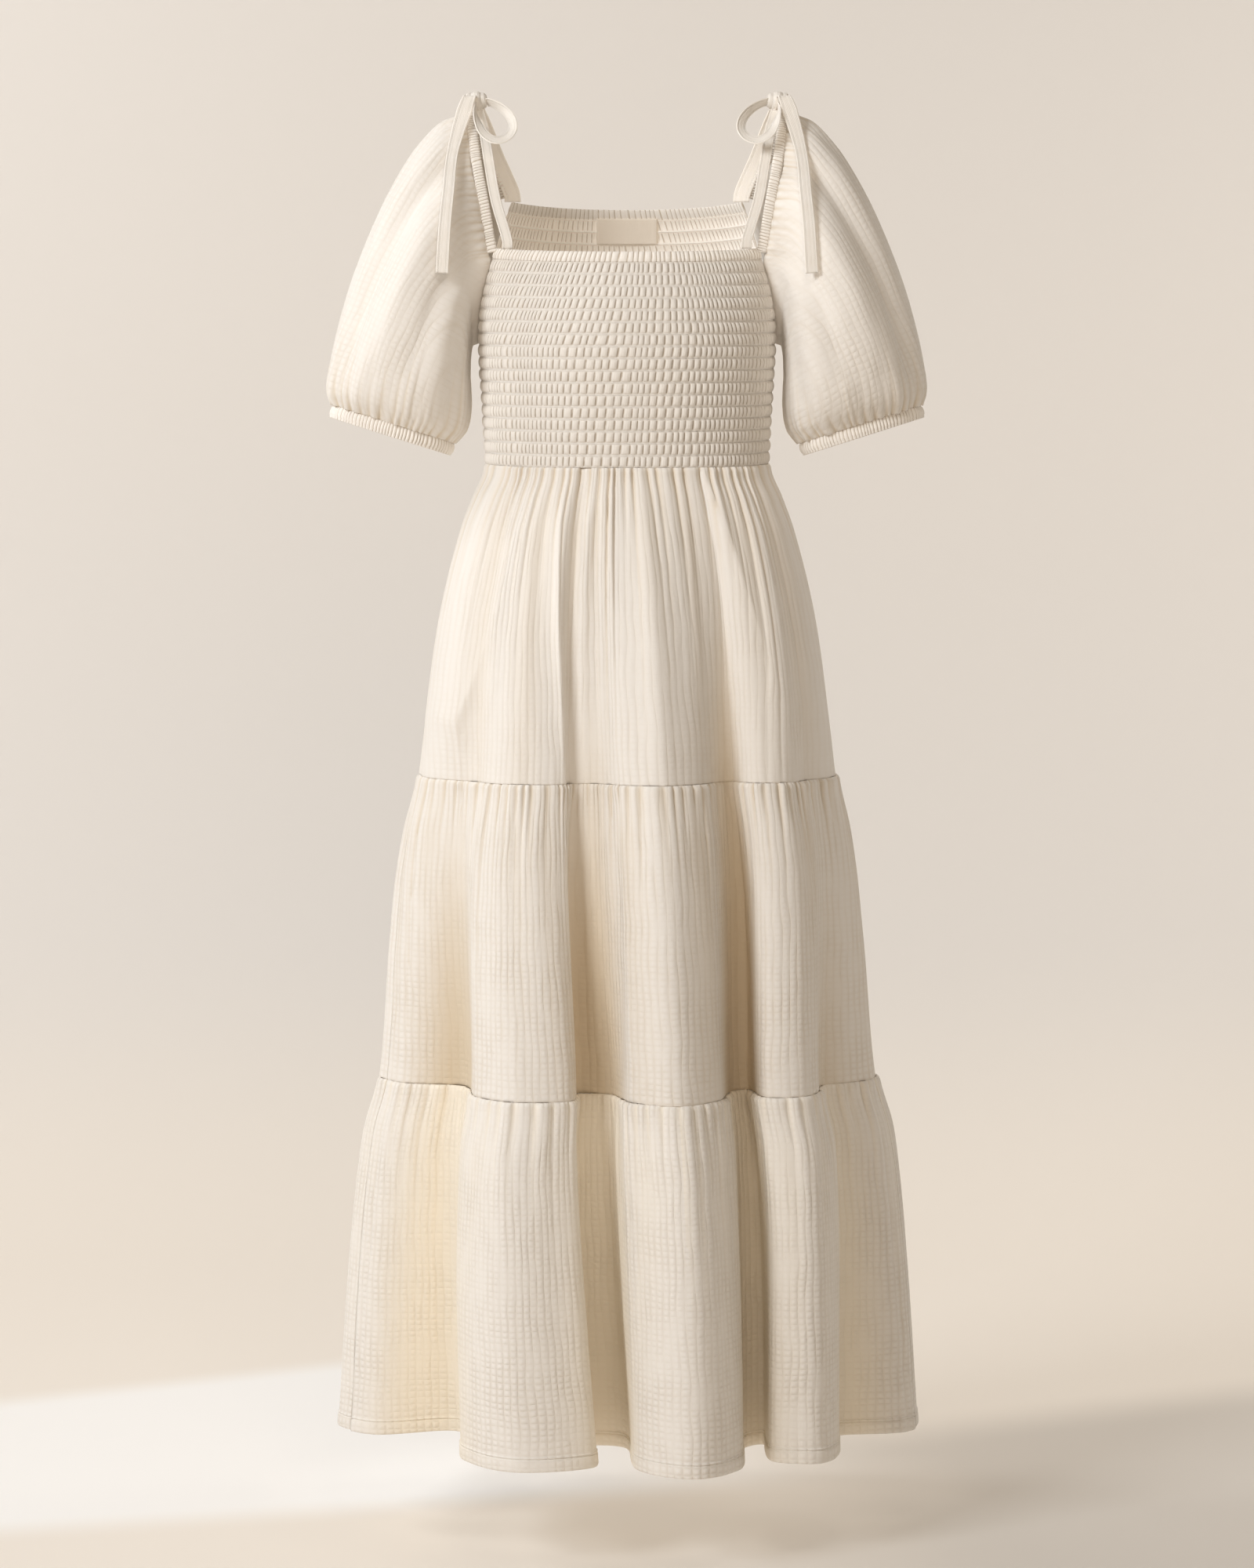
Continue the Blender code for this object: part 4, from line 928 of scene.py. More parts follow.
# The skirt's smaller soft creases: share across the half, lean, start, end, depth and width. The first row of
# each tier is the front's and the second is the back's
CREASE_ROWS = {
    1: (
        (
            (0.385, 0.0, -0.10, 1.20, -0.0090, 0.020), (0.340, 0.01, -0.05, 1.15, 0.0044, 0.014),
            (0.07, 0.02, 0.05, 1.00, 0.0017, 0.020), (0.13, 0.01, 0.00, 0.80, -0.0013, 0.018),
            (0.19, -0.02, 0.10, 1.05, 0.0020, 0.022), (0.26, 0.01, 0.00, 0.95, 0.0017, 0.016),
            (0.31, 0.00, 0.15, 1.10, -0.0017, 0.019), (0.37, 0.02, 0.00, 0.70, 0.0013, 0.015),
            (0.45, -0.01, 0.02, 0.90, -0.0017, 0.018), (0.50, 0.01, 0.20, 1.10, 0.0019, 0.020),
            (0.57, 0.00, 0.00, 1.00, 0.0015, 0.015), (0.61, 0.01, 0.10, 0.85, -0.0014, 0.015),
            (0.70, -0.01, 0.00, 1.05, 0.0020, 0.021), (0.78, 0.01, 0.05, 0.80, -0.0013, 0.016),
            (0.84, -0.01, 0.10, 1.00, 0.0017, 0.019), (0.92, 0.01, 0.00, 1.10, 0.0014, 0.020),
        ),
        (
            (0.08, 0.01, 0.00, 0.90, 0.0018, 0.020), (0.20, -0.01, 0.10, 1.05, -0.0015, 0.019),
            (0.29, 0.01, 0.00, 1.00, 0.0019, 0.020), (0.41, 0.00, 0.05, 0.80, 0.0015, 0.018),
            (0.52, 0.01, 0.15, 1.10, -0.0017, 0.018), (0.60, -0.01, 0.00, 1.00, 0.0017, 0.019),
            (0.73, 0.01, 0.00, 0.85, 0.0019, 0.021), (0.88, 0.00, 0.10, 1.05, -0.0014, 0.019),
        ),
    ),
    2: (
        (
            (0.398, 0.0, -0.20, 1.25, -0.0070, 0.017), (0.345, 0.0, -0.10, 1.20, 0.0034, 0.013),
            (0.05, 0.01, 0.00, 0.85, 0.0020, 0.018), (0.12, -0.01, 0.05, 1.10, -0.0019, 0.019),
            (0.18, 0.01, 0.00, 1.05, 0.0023, 0.019), (0.25, 0.01, 0.10, 0.90, -0.0015, 0.015),
            (0.30, 0.00, 0.00, 1.10, 0.0021, 0.018), (0.44, 0.01, 0.05, 0.95, 0.0019, 0.015),
            (0.50, -0.01, 0.00, 1.05, -0.0018, 0.016), (0.55, 0.01, 0.10, 1.10, 0.0022, 0.019),
            (0.62, 0.00, 0.00, 0.80, 0.0017, 0.015), (0.71, 0.01, 0.05, 1.05, -0.0018, 0.016),
            (0.77, -0.01, 0.00, 0.90, 0.0021, 0.019), (0.86, 0.01, 0.10, 1.10, 0.0018, 0.018),
            (0.94, 0.00, 0.00, 1.00, -0.0015, 0.016),
        ),
        (
            (0.07, 0.00, 0.00, 1.05, 0.0021, 0.019), (0.18, 0.01, 0.05, 0.90, -0.0019, 0.018),
            (0.33, -0.01, 0.00, 1.10, 0.0022, 0.019), (0.46, 0.01, 0.10, 1.00, 0.0019, 0.016),
            (0.58, 0.00, 0.00, 0.85, -0.0017, 0.016), (0.69, 0.01, 0.00, 1.10, 0.0021, 0.019),
            (0.82, -0.01, 0.05, 0.95, 0.0019, 0.018), (0.93, 0.01, 0.10, 1.05, -0.0017, 0.016),
        ),
    ),
    3: (
        (
            (0.024, -0.016, -0.30, 1.30, -0.0018, 0.0022), (0.974, 0.012, -0.30, 1.30, -0.0018, 0.0022),
            (0.06, 0.01, 0.00, 0.95, 0.0023, 0.016), (0.10, -0.01, 0.05, 1.15, -0.0021, 0.018),
            (0.16, 0.01, 0.00, 0.90, 0.0024, 0.016), (0.23, 0.00, 0.00, 1.15, 0.0021, 0.018),
            (0.29, 0.01, 0.10, 1.00, -0.0019, 0.015), (0.34, -0.01, 0.00, 1.15, 0.0025, 0.018),
            (0.47, 0.01, 0.00, 0.85, 0.0022, 0.015), (0.53, -0.01, 0.05, 1.15, -0.0021, 0.016),
            (0.58, 0.01, 0.00, 1.15, 0.0024, 0.018), (0.65, 0.00, 0.10, 0.95, 0.0019, 0.015),
            (0.75, 0.01, 0.00, 1.15, -0.0020, 0.016), (0.81, -0.01, 0.00, 0.95, 0.0024, 0.018),
            (0.89, 0.01, 0.05, 1.15, 0.0021, 0.016), (0.96, 0.00, 0.00, 1.00, -0.0018, 0.015),
        ),
        (
            (0.06, 0.01, 0.00, 1.00, 0.0024, 0.016), (0.14, -0.01, 0.05, 1.15, -0.0021, 0.018),
            (0.27, 0.01, 0.00, 0.90, 0.0023, 0.016), (0.38, 0.00, 0.10, 1.15, 0.0022, 0.018),
            (0.49, 0.01, 0.00, 1.00, -0.0020, 0.016), (0.61, -0.01, 0.00, 1.15, 0.0024, 0.018),
            (0.72, 0.01, 0.05, 0.95, 0.0021, 0.015), (0.83, 0.00, 0.00, 1.15, -0.0020, 0.016),
            (0.92, 0.01, 0.00, 1.05, 0.0023, 0.018),
        ),
    ),
}


@dataclass
class Skirt:
    """The skirt's large folds: a smooth closed line at the hem that grows from the waist's plain ring."""

    shoulder: float = 0.30
    least_drop: float = 0.03
    curve_steps: int = 24
    next_to: float = 0.0008
    seam_left: tuple[float, float] = (-0.286, -0.034)
    seam_right: tuple[float, float] = (0.292, -0.014)

    def __post_init__(self) -> None:
        """Works out the hem's line and cuts it at the side seams."""
        line, (crests, floors) = self.hem_line()
        left = int(np.argmin(np.linalg.norm(line - self.seam_left, axis=1)))
        line = np.roll(line, -left, axis=0)
        right = int(np.argmin(np.linalg.norm(line - self.seam_right, axis=1)))
        closed = np.vstack([line, line[:1]])
        run = lengths(closed)
        before, behind = run / run[right], (run - run[right]) / (run[-1] - run[right])
        self.share = np.where(run <= run[right], 0.5 * before, 0.5 + 0.5 * behind)
        self.line = closed
        known, grown = [(0.0, 0.0), (0.5, math.pi)], []
        for i in range(len(crests)):
            for at, degrees in ((crests[i], FOLDS["crest_deg"][i]), (floors[i], FOLDS["valley_deg"][i])):
                place = self.share[(at - left) % len(line)]
                known.append((place, math.radians(degrees % 360)))
                grown.append((place, FOLDS["starts"][i], FOLDS["growth"][i]))
        self.known = np.array(sorted(known) + [(1.0, 2 * math.pi)])
        found = np.array(sorted(grown))
        self.grown = np.vstack([found[-1:] - (1, 0, 0), found, found[:1] + (1, 0, 0)])

    def hem_line(self) -> tuple[Array, tuple[Array, Array]]:
        """The hem's closed line in plan, with where its crests and its valley floors lie along it."""
        points = []
        for i in range(len(FOLDS["crest_x"])):
            crest = np.array([FOLDS["crest_x"][i], FOLDS["crest_y"][i]])
            floor = np.array([FOLDS["valley_x"][i], FOLDS["valley_y"][i]])
            out, along = self.facing(crest)
            _, floor_along = self.facing(floor)
            drop = self.shoulder * max(float(np.dot(crest - floor, out)), self.least_drop)
            points += [
                crest - along * FOLDS["reach_back"][i] - out * drop,
                crest,
                crest + along * FOLDS["reach_on"][i] - out * drop,
                floor - floor_along * FOLDS["floor"][i],
                floor + floor_along * FOLDS["floor"][i],
            ]
        samples, at = flowing(np.array(points), self.curve_steps, closed=True)
        return samples, (at[1::5], (at[3::5] + at[4::5]) // 2)

    @staticmethod
    def facing(point: Array) -> tuple[Array, Array]:
        """The directions out of the body and on round it, at a point in plan."""
        half = BODY["half_width"][-1]
        depth = BODY["front"][-1] if point[1] < 0 else BODY["back"][-1]
        out = unit(np.array([point[0] / half**2, point[1] / depth**2]))
        return out, np.array([-out[1], out[0]])

    def smooth(self, share: Array, height: Array) -> Array:
        """The ring with its large folds, before gathers, at a height."""
        share = np.mod(share, 1.0)
        angle = eased(share, self.known[:, 0], self.known[:, 1])
        ring, _ = body_xy(angle, height)
        base, _ = body_xy(angle, np.asarray(HEM))
        hem = np.stack([np.interp(share, self.share, axis) for axis in self.line.T], axis=-1)
        starts = np.interp(share, self.grown[:, 0], self.grown[:, 1])
        growth = np.interp(share, self.grown[:, 0], self.grown[:, 2])
        down = np.clip((WAIST - height - starts) / (WAIST - HEM - starts), 0, 1) ** growth
        return ring + (hem - base) * down[..., None]

    def sunk(self, share: Array, height: Array) -> Array:
        """How deep in a large fold the wall lies, from 0 on the plain ring to 1 at 7 cm behind it, for the
        gauze's painted shade.
        """
        angle = eased(np.mod(share, 1.0), self.known[:, 0], self.known[:, 1])
        ring, normal = body_xy(angle, height)
        inwards = -((self.smooth(share, height) - ring) * normal).sum(axis=-1)
        return smoothstep(inwards, 0.012, 0.070)

    def plan(self, share: Array, height: Array) -> tuple[Array, Array]:
        """The wall's middle in plan at a share of the way round, with its outward normal."""
        ring = self.smooth(share, height)
        along = unit(self.smooth(share + self.next_to, height) - self.smooth(share - self.next_to, height))
        return ring, np.stack([along[..., 1], -along[..., 0]], axis=-1)

    def sag(self, share: Array, height: Array) -> Array:
        """How far the waist's line hangs below its ends, fading down the first tier."""
        half = np.mod(eased(np.mod(share, 1.0), self.known[:, 0], self.known[:, 1]) / math.pi, 1.0)
        fade = np.clip((height - SEAM_1) / (WAIST - SEAM_1), 0, 1)
        return ROW_SAG * (1 - (2 * half - 1) ** 2) * fade


@dataclass
class Tier:
    """One gathered half tier of the skirt, front or back."""

    number: int
    top: float
    foot: float
    gathers: int
    gather_height: float
    gather_reach: float
    columns: int
    rows: int
    opened: tuple[float, float]
    cut: tuple[float, float]
    behind: bool
    wall: float = 0.0016
    inner_share: int = 3
    hem_turn: float = 0.0150
    hem_wall: float = 0.0011
    seam_roll: float = 0.0014
    foot_roll: float = 0.0010

    @property
    def name(self) -> str:
        """The tier's CAD node."""
        return f"tier_{self.number}_{'back' if self.behind else 'front'}"

    @property
    def last(self) -> bool:
        """Whether this tier has the hem."""
        return self.foot == HEM

    def row_shares(self, count: int) -> Array:
        """Shares of the way down, closer together near the seam and at the hem's turn."""
        shares = np.linspace(0, 1, count) ** 1.35
        tall = self.top - self.foot
        if not self.last:
            near = 1 - np.array([0.0045, 0.0030, 0.0018, 0.0008]) / tall
            return np.sort(np.concatenate([shares[shares < near[0]], near, [1.0]]))
        turn = np.array([0.0172, 0.0158, 0.0153, 0.0150, 0.0145, 0.0134, 0.0129, 0.0124, 0.0119, 0.0108])
        edge = np.array([0.0080, 0.0050, 0.0028, 0.0014, 0.0005])
        near = 1 - np.concatenate([turn, edge]) / tall
        return np.concatenate([shares[shares < near[0] - 0.004], near, [1.0]])

    def relief(self, across: Array, down: Array) -> tuple[Array, Array]:
        """Gathers, merged gathers and creases together.

        Args:
            across: shares of the way across, one row.
            down: shares of the way down, one column.

        Returns:
            The relief in metres, and how deep between gathers each point lies.
        """
        tall = self.top - self.foot
        seed = self.number * 10 + int(self.behind)
        away = down * tall
        near = Gathers(self.gathers, self.gather_height, self.gather_reach, seed, at_seam=0.7, sharp=0.55)
        fine, deep = near.relief(across, away)
        count, height, reach = self.gathers // 4, self.gather_height * 0.7, tall * 0.7
        broad = Gathers(count, height, reach, seed + 5, rise=0.07, at_seam=0.1, sharp=1.6)
        merged, low = broad.relief(across, away)
        total = fine + merged
        for row in CREASE_ROWS[self.number][int(self.behind)]:
            total = total + Crease(*row).relief(across, down)
        edge = smoothstep(np.minimum(across, 1 - across), 0.0, 0.012)
        # The second value is the depth mask that the gauze's finish darkens as painted shade.
        return total * (0.25 + 0.75 * edge), np.maximum(0.95 * deep, 0.35 * low)

    def rolled(self, down: Array) -> Array:
        """How far the wall turns in at its seams, and how the hem's turned edge stands out."""
        tall = self.top - self.foot
        from_top, from_foot = down * tall, (1 - down) * tall
        dip = -0.0013 * np.exp(-((from_top / self.seam_roll) ** 2))
        if not self.last:
            return dip - 0.0007 * np.exp(-((from_foot / self.foot_roll) ** 2))
        turned = smoothstep(-from_foot, -self.hem_turn - 0.0004, -self.hem_turn + 0.0006)
        stitch = np.exp(-(((from_foot - 0.0129) / 0.0007) ** 2))
        edge = np.exp(-((from_foot / 0.0011) ** 2))
        return dip + self.hem_wall * turned - 0.0015 * stitch - 0.0009 * edge

    def layer(self, skirt: Skirt, columns: int, rows: Array, inset: float, ease: float) -> Array:
        """One skin of the tier as a grid of seven values."""
        across, down = np.linspace(0, 1, columns + 1)[None, :], rows[:, None]
        share = np.broadcast_to(0.5 * across + (0.5 if self.behind else 0.0), (len(rows), columns + 1))
        height = np.broadcast_to(self.top + (self.foot - self.top) * down, share.shape)
        plan, normal = skirt.plan(share, height)
        relief, deep = self.relief(across, down)
        out = relief * ease + self.rolled(down) * (1 if inset == 0 else 0.3) - inset
        lift = 0.0
        if self.last:
            lift = 0.0022 * wandering(across[0] * 14, 1.0, 40 + self.behind)[None, :] * down**6
        z = height - skirt.sag(share, height) + lift
        points = np.concatenate([plan + normal * out[..., None], z[..., None]], axis=-1)
        middle_ring = np.linspace(0, 0.5, 300) + (0.5 if self.behind else 0.0)
        half_round = float(lengths(skirt.smooth(middle_ring, np.full(300, (self.top + self.foot) / 2)))[-1])
        opened = self.opened[0] + (self.opened[1] - self.opened[0]) * down
        # The depth mask, which the gauze's finish darkens as painted shade: how deep the point lies in a
        # gather or a large fold.
        deepest = np.maximum(deep, skirt.sunk(share, height))
        return seven(points, across * half_round, -height, opened, deepest)

    def sheet(self, skirt: Skirt) -> Shell:
        """The tier's closed shell."""
        rows = self.row_shares(self.rows)
        coarse = np.append(rows[: -1 : self.inner_share], 1.0)
        outer = self.layer(skirt, self.columns, rows, 0.0, 1.0)
        inner = self.layer(skirt, self.columns // self.inner_share, coarse, self.wall, 0.8)
        return Shell().close(outer, inner)


SLEEVE_COLUMNS = ("inner_x", "inner_z", "outer_x", "outer_z", "half_depth")
SLEEVE_ROWS = (
    (0.1515, -0.2425, 0.1630, -0.0124, 0.052),
    (0.1585, -0.2450, 0.1850, -0.0190, 0.064),
    (0.1605, -0.2620, 0.2100, -0.0430, 0.078),
    (0.1605, -0.2760, 0.2390, -0.0900, 0.088),
    (0.1595, -0.2900, 0.2640, -0.1460, 0.091),
    (0.1590, -0.3030, 0.2840, -0.2030, 0.088),
    (0.1600, -0.3160, 0.2970, -0.2550, 0.080),
    (0.1640, -0.3300, 0.3020, -0.2880, 0.067),
    (0.1770, -0.3440, 0.2970, -0.3060, 0.047),
)
SLEEVE = table(SLEEVE_COLUMNS, SLEEVE_ROWS)

# The sleeve's long soft folds, from its neckline edge to the cuff: share round from the armpit by the front,
# lean, start, end, depth and width
SLEEVE_CREASES = (
    (0.160, 0.02, 0.20, 0.95, 0.0031, 0.035), (0.215, 0.02, 0.05, 0.75, -0.0062, 0.024),
    (0.290, 0.03, 0.02, 0.75, 0.0052, 0.026), (0.352, 0.05, -0.05, 0.80, -0.0090, 0.026),
    (0.400, 0.04, 0.04, 0.85, 0.0027, 0.030), (0.448, 0.02, 0.02, 0.55, -0.0024, 0.022),
    (0.485, 0.01, 0.10, 0.95, 0.0025, 0.035), (0.100, 0.02, 0.35, 0.90, -0.0025, 0.030),
    (0.250, 0.05, 0.55, 1.05, -0.0021, 0.022), (0.335, 0.03, 0.60, 1.05, 0.0025, 0.020),
    (0.385, 0.02, 0.50, 1.05, -0.0022, 0.019), (0.440, 0.01, 0.62, 1.05, 0.0024, 0.022),
    (0.545, -0.01, 0.05, 0.90, -0.0027, 0.030), (0.600, -0.03, 0.03, 1.00, 0.0031, 0.032),
    (0.655, -0.03, 0.00, 0.75, -0.0033, 0.027), (0.710, -0.03, 0.05, 0.90, 0.0031, 0.030),
    (0.790, -0.01, 0.15, 1.00, 0.0027, 0.032), (0.860, 0.00, 0.30, 1.00, -0.0025, 0.030),
)

EDGE_ROUTE = (
    (0.1360, -0.0490, -0.1490),
    (0.1440, -0.0450, -0.1020),
    (0.1518, -0.0330, -0.0600),
    (0.1562, -0.0160, -0.0280),
    (0.1575, 0.0000, -0.0125),
    (0.1540, 0.0180, -0.0250),
    (0.1440, 0.0380, -0.0530),
    (0.1262, 0.0545, -0.0925),
)
FRONT_STRAP_ROUTE = (
    (0.1316, -0.0458, -0.1020),
    (0.1392, -0.0330, -0.0600),
    (0.1442, -0.0200, -0.0300),
)
BACK_STRAP_ROUTE = (
    (0.1318, 0.0395, -0.0500),
    (0.1418, 0.0195, -0.0230),
)
LOOP_ROUTE = (
    (0.1390, -0.0070, -0.0010),
    (0.1250, -0.0160, -0.0090),
    (0.1160, -0.0260, -0.0205),
    (0.1150, -0.0340, -0.0310),
    (0.1215, -0.0410, -0.0395),
    (0.1320, -0.0440, -0.0420),
    (0.1425, -0.0410, -0.0360),
    (0.1490, -0.0330, -0.0250),
    (0.1525, -0.0220, -0.0130),
)
TAIL_ROUTE = (
    (0.1660, -0.0180),
    (0.1750, -0.0560),
    (0.1780, -0.0950),
    (0.1810, -0.1300),
    (0.1838, -0.1770),
)
SIDEWAYS = np.array([1.0, 0.0, 0.0])


def framed(path: Array, across: Array) -> tuple[Array, Array]:
    """The directions across and out of a flat strip that follows a path."""
    along = unit(np.gradient(path, axis=0))
    across = np.broadcast_to(across, path.shape)
    across = unit(across - along * (across * along).sum(axis=1, keepdims=True))
    return across, np.cross(along, across)


@dataclass(frozen=True)
class Strip:
    """The section of a flat tape: soft edges, a raised rim along each and a row of stitches inside it."""

    width: float
    thickness: float
    columns: int = 18
    rim: float = 0.00045
    groove: float = 0.00050
    crown: float = 0.0
    fold: float = 0.00035

    def along(
        self,
        path: Array,
        across: Array,
        widths: Array | None = None,
        swell: Array | None = None,
        count: Array | float = 0.0,
    ) -> Shell:
        """Sweeps the section along a path.

        Args:
            path: the middle of the strip.
            across: the direction across it, for all or each of the points.
            widths: the width at each point, where it changes.
            swell: metres added outwards at each point and column, where it is ruched.
            count: the count of ruches up to each point and column.

        Returns:
            The strip's shell.
        """
        side, out = framed(path, across)
        w = np.sin(np.linspace(-0.5, 0.5, self.columns + 1) * math.pi)
        round_off = np.sqrt(np.clip(1 - np.abs(w) ** 7, 0.0, 1.0))
        rim = self.rim * np.exp(-(((np.abs(w) - 0.86) / 0.10) ** 2))
        groove = self.groove * np.exp(-(((np.abs(w) - 0.64) / 0.07) ** 2))
        fold = self.fold * np.exp(-(((w - 0.22) / 0.08) ** 2))
        face = (self.thickness / 2 + rim - groove - fold + self.crown * (1 - w**2)) * round_off
        stitch = np.exp(-(((np.abs(w) - 0.64) / 0.05) ** 2))
        wide = np.full(len(path), self.width) if widths is None else widths
        extra = np.zeros((len(path), len(w))) if swell is None else swell * round_off[None, :]
        middle = path[:, None, :] + side[:, None, :] * (w[None, :, None] * wide[:, None, None] / 2)
        lift = out[:, None, :] * (face[None, :] + extra)[..., None]
        run = lengths(path)[:, None]
        flat = w[None, :] * self.width / 2
        outer = seven(middle + lift, flat, run, count, stitch[None, :])
        inner = seven(middle - lift * 0.92, flat, run, count, stitch[None, :])
        return Shell().close(outer, inner)


@dataclass
class Shoulder:
    """One sleeve with its elastic edges and its ties, built with x outwards and then placed."""

    front: Bodice
    back: Bodice
    mirrored: bool
    steps: int = 10
    rings: int = 66
    ring_columns: int = 36
    half_wall: float = 0.0007
    raglan_gap: float = 0.0014
    corners: tuple[int, int, int] = (8, 17, 25)
    cuff_height: float = 0.0130
    cuff_ribs: int = 88
    grain: float = 0.50
    edge_width: float = 0.0104
    edge_foot: float = 0.0050
    knot_centre: tuple[float, float, float] = (0.1530, -0.0020, 0.0002)
    knot_radii: tuple[float, float, float] = (0.0125, 0.0115, 0.0103)
    tail_clearance: float = 0.0036
    tape: Strip = Strip(0.0106, 0.0014)
    ruched: Strip = Strip(0.0104, 0.0024, columns=9, rim=0.0, groove=0.0, crown=0.0005, fold=0.0)

    @property
    def word(self) -> str:
        """The side's word in node names."""
        return "left" if self.mirrored else "right"

    def stand(self, shell: Shell) -> Shell:
        """The shell on its own side of the dress."""
        return shell.mirror() if self.mirrored else shell

    def edge_path(self, count: int) -> Array:
        """The ruched neckline edge's middle, at even distances."""
        return evenly(flowing(np.array(EDGE_ROUTE), 24)[0], count)

    def raglan(self) -> Array:
        """The sleeve's closed seam line: up the front, over the ruched edge and down the back."""
        path = self.edge_path(41)
        side, _ = framed(path, SIDEWAYS)
        beside = path + side * (self.edge_width / 2 - 0.0004)
        top = int(np.argmax(beside[:, 2]))
        first, shoulder, last = self.corners
        count = self.ring_columns
        loop = np.zeros((count, 3))
        loop[first : shoulder + 1] = evenly(beside[: top + 1], shoulder - first + 1)
        loop[shoulder : last + 1] = evenly(beside[top:], last - shoulder + 1)
        start = SLEEVE["inner_z"][0]
        for half, columns in ((self.front, np.arange(0, first)), (self.back, np.arange(count, last, -1))):
            share = np.abs(columns - columns[0]) / (len(columns) + 0.3)
            height = start + (half.corner_height - start) * share
            seam = raglan_angle(height, half.corner_deg, half.corner_height)
            angle = np.maximum(seam - self.raglan_gap / 0.14, 0.0) * (-1 if half.behind else 1)
            plan, _ = body_xy(angle, height)
            loop[columns % count] = np.hstack([plan * (-1, 1), height[:, None]])
        return flowing(loop, self.steps, closed=True)[0]

    def form(self) -> tuple[Array, Array]:
        """The sleeve's smooth form and its outward normals, rings down by columns round."""
        loop = self.raglan()
        around = np.arange(len(loop)) / len(loop)
        rings = np.linspace(0, 1, self.rings + 1)
        place = np.linspace(0, 1, len(SLEEVE_ROWS))
        shape = {name: eased(rings, place, values) for name, values in SLEEVE.items()}
        inner = np.stack([shape["inner_x"], 0 * rings, shape["inner_z"]], axis=1)
        outer = np.stack([shape["outer_x"], 0 * rings, shape["outer_z"]], axis=1)
        middle, reach = (inner + outer) / 2, (outer - inner) / 2
        turn = 2 * math.pi * around
        grid = middle[:, None, :] - reach[:, None, :] * np.cos(turn)[None, :, None]
        forth = shape["half_depth"][:, None, None] * np.sin(turn)[None, :, None]
        grid = grid - np.array([0.0, 1.0, 0.0]) * forth
        grid = grid + (loop - grid[0])[None] * ((1 - rings) ** 2.2)[:, None, None]
        down = np.gradient(grid, axis=0)
        along = np.roll(grid, -1, axis=1) - np.roll(grid, 1, axis=1)
        normal = np.cross(down, along)
        normal[-1] = grid[-1] - grid[-1].mean(axis=0)
        return grid, unit(normal)

    def sleeve(self) -> Shell:
        """The puff sleeve with its gathers and its long soft folds."""
        grid, normal = self.form()
        rows, columns = grid.shape[:2]
        step = np.linalg.norm(np.diff(grid, axis=0), axis=2)
        run = np.vstack([np.zeros(columns), np.cumsum(step, axis=0)])
        around, down = np.arange(columns)[None, :] / columns, np.linspace(0, 1, rows)[:, None]
        seed = 60 + int(self.mirrored)
        top, top_deep = Gathers(92, 0.0026, 0.016, seed, rise=0.003, at_seam=0.5).relief(around, run)
        mid, _ = Gathers(26, 0.0010, 0.040, seed + 2, rise=0.010, at_seam=0.2).relief(around, run)
        at_cuff = Gathers(40, 0.0044, 0.021, seed + 4, rise=0.003, at_seam=0.7)
        cuff, cuff_deep = at_cuff.relief(around, run[-1] - run)
        shoulder = smoothstep(around, 0.17, 0.24) * (1 - smoothstep(around, 0.66, 0.76))
        relief = (top + mid) * (0.25 + 0.75 * shoulder) + cuff
        for row in SLEEVE_CREASES:
            relief = relief + Crease(*row).relief(around, down)
        armpit = smoothstep(np.minimum(around, 1 - around), 0.0, 0.05)
        relief = relief * (armpit + (1 - armpit) * smoothstep(down, 0.3, 0.7))
        relief = relief - 0.0010 * np.exp(-((run / 0.0020) ** 2))
        # The depth mask, which the gauze's finish darkens as painted shade.
        deep = np.maximum(top_deep * shoulder, cuff_deep)
        grain = np.array([math.sin(self.grain), 0.0, -math.cos(self.grain)])
        across = np.array([math.cos(self.grain), 0.6, math.sin(self.grain)])
        u, v = grid @ across, grid @ grain
        outer = grid + normal * (relief + self.half_wall)[..., None]
        self.outside = outer
        opened = 0.55 + 0.25 * down + 0 * around
        skin = seven(outer, u, v, opened, deep)
        pick = np.append(np.arange(0, rows - 1, 3), rows - 1)
        within = (grid + normal * (relief * 0.8 - 3 * self.half_wall)[..., None])[pick][:, ::3]
        # The lining's depth of 0.2 darkens the inside a little towards the deep colour, as painted shade.
        lining = seven(within, u[pick][:, ::3], v[pick][:, ::3], 0.3, 0.2)
        return self.stand(Shell().close(skin, lining, wrap=True))

    def cuff(self) -> Shell:
        """The elastic cuff: a ribbed tube square to the sleeve's last ring, with a soft lip."""
        grid, normal = self.form()
        ring, out = grid[-1], normal[-1]
        count = self.cuff_ribs * 5
        closed = np.vstack([np.hstack([ring, out]), np.hstack([ring[:1], out[:1]])])
        even = evenly(closed, count + 1)[:-1]
        ring, out = even[:, :3], unit(even[:, 3:])
        inner = np.array([SLEEVE["inner_x"][-1], 0, SLEEVE["inner_z"][-1]])
        outer = np.array([SLEEVE["outer_x"][-1], 0, SLEEVE["outer_z"][-1]])
        axis = unit(np.cross(outer - inner, (0.0, 1.0, 0.0)))
        axis = -axis if axis[2] > 0 else axis
        section = np.linspace(0, 1, 12)[:, None]
        turn = np.arange(count)[None, :] / count
        wobble = wandering(turn[0] * self.cuff_ribs, 2.4, 90 + self.mirrored)[None, :]
        counted = turn * self.cuff_ribs + 0.3 * wobble + 0.2 * section
        rib = np.abs(np.sin(math.pi * counted)) ** 0.9
        belly = np.sin(math.pi * np.clip(section, 0.03, 0.97)) ** 0.5
        lip = np.exp(-(((section - 0.83) / 0.05) ** 2))
        face = 0.0005 + 0.0009 * belly + 0.0018 * rib * belly - 0.0006 * lip
        middle = ring[None] + axis * (self.cuff_height * section)[..., None]
        skin = seven(middle + out[None] * face[..., None], turn * 0.30, section * self.cuff_height, counted)
        back = 0.0005 + 0.0010 * belly + 0.0005 * rib * belly
        lining = seven(middle - out[None] * back[..., None], turn * 0.30, section * self.cuff_height, counted)
        return self.stand(Shell().close(skin, lining, wrap=True))

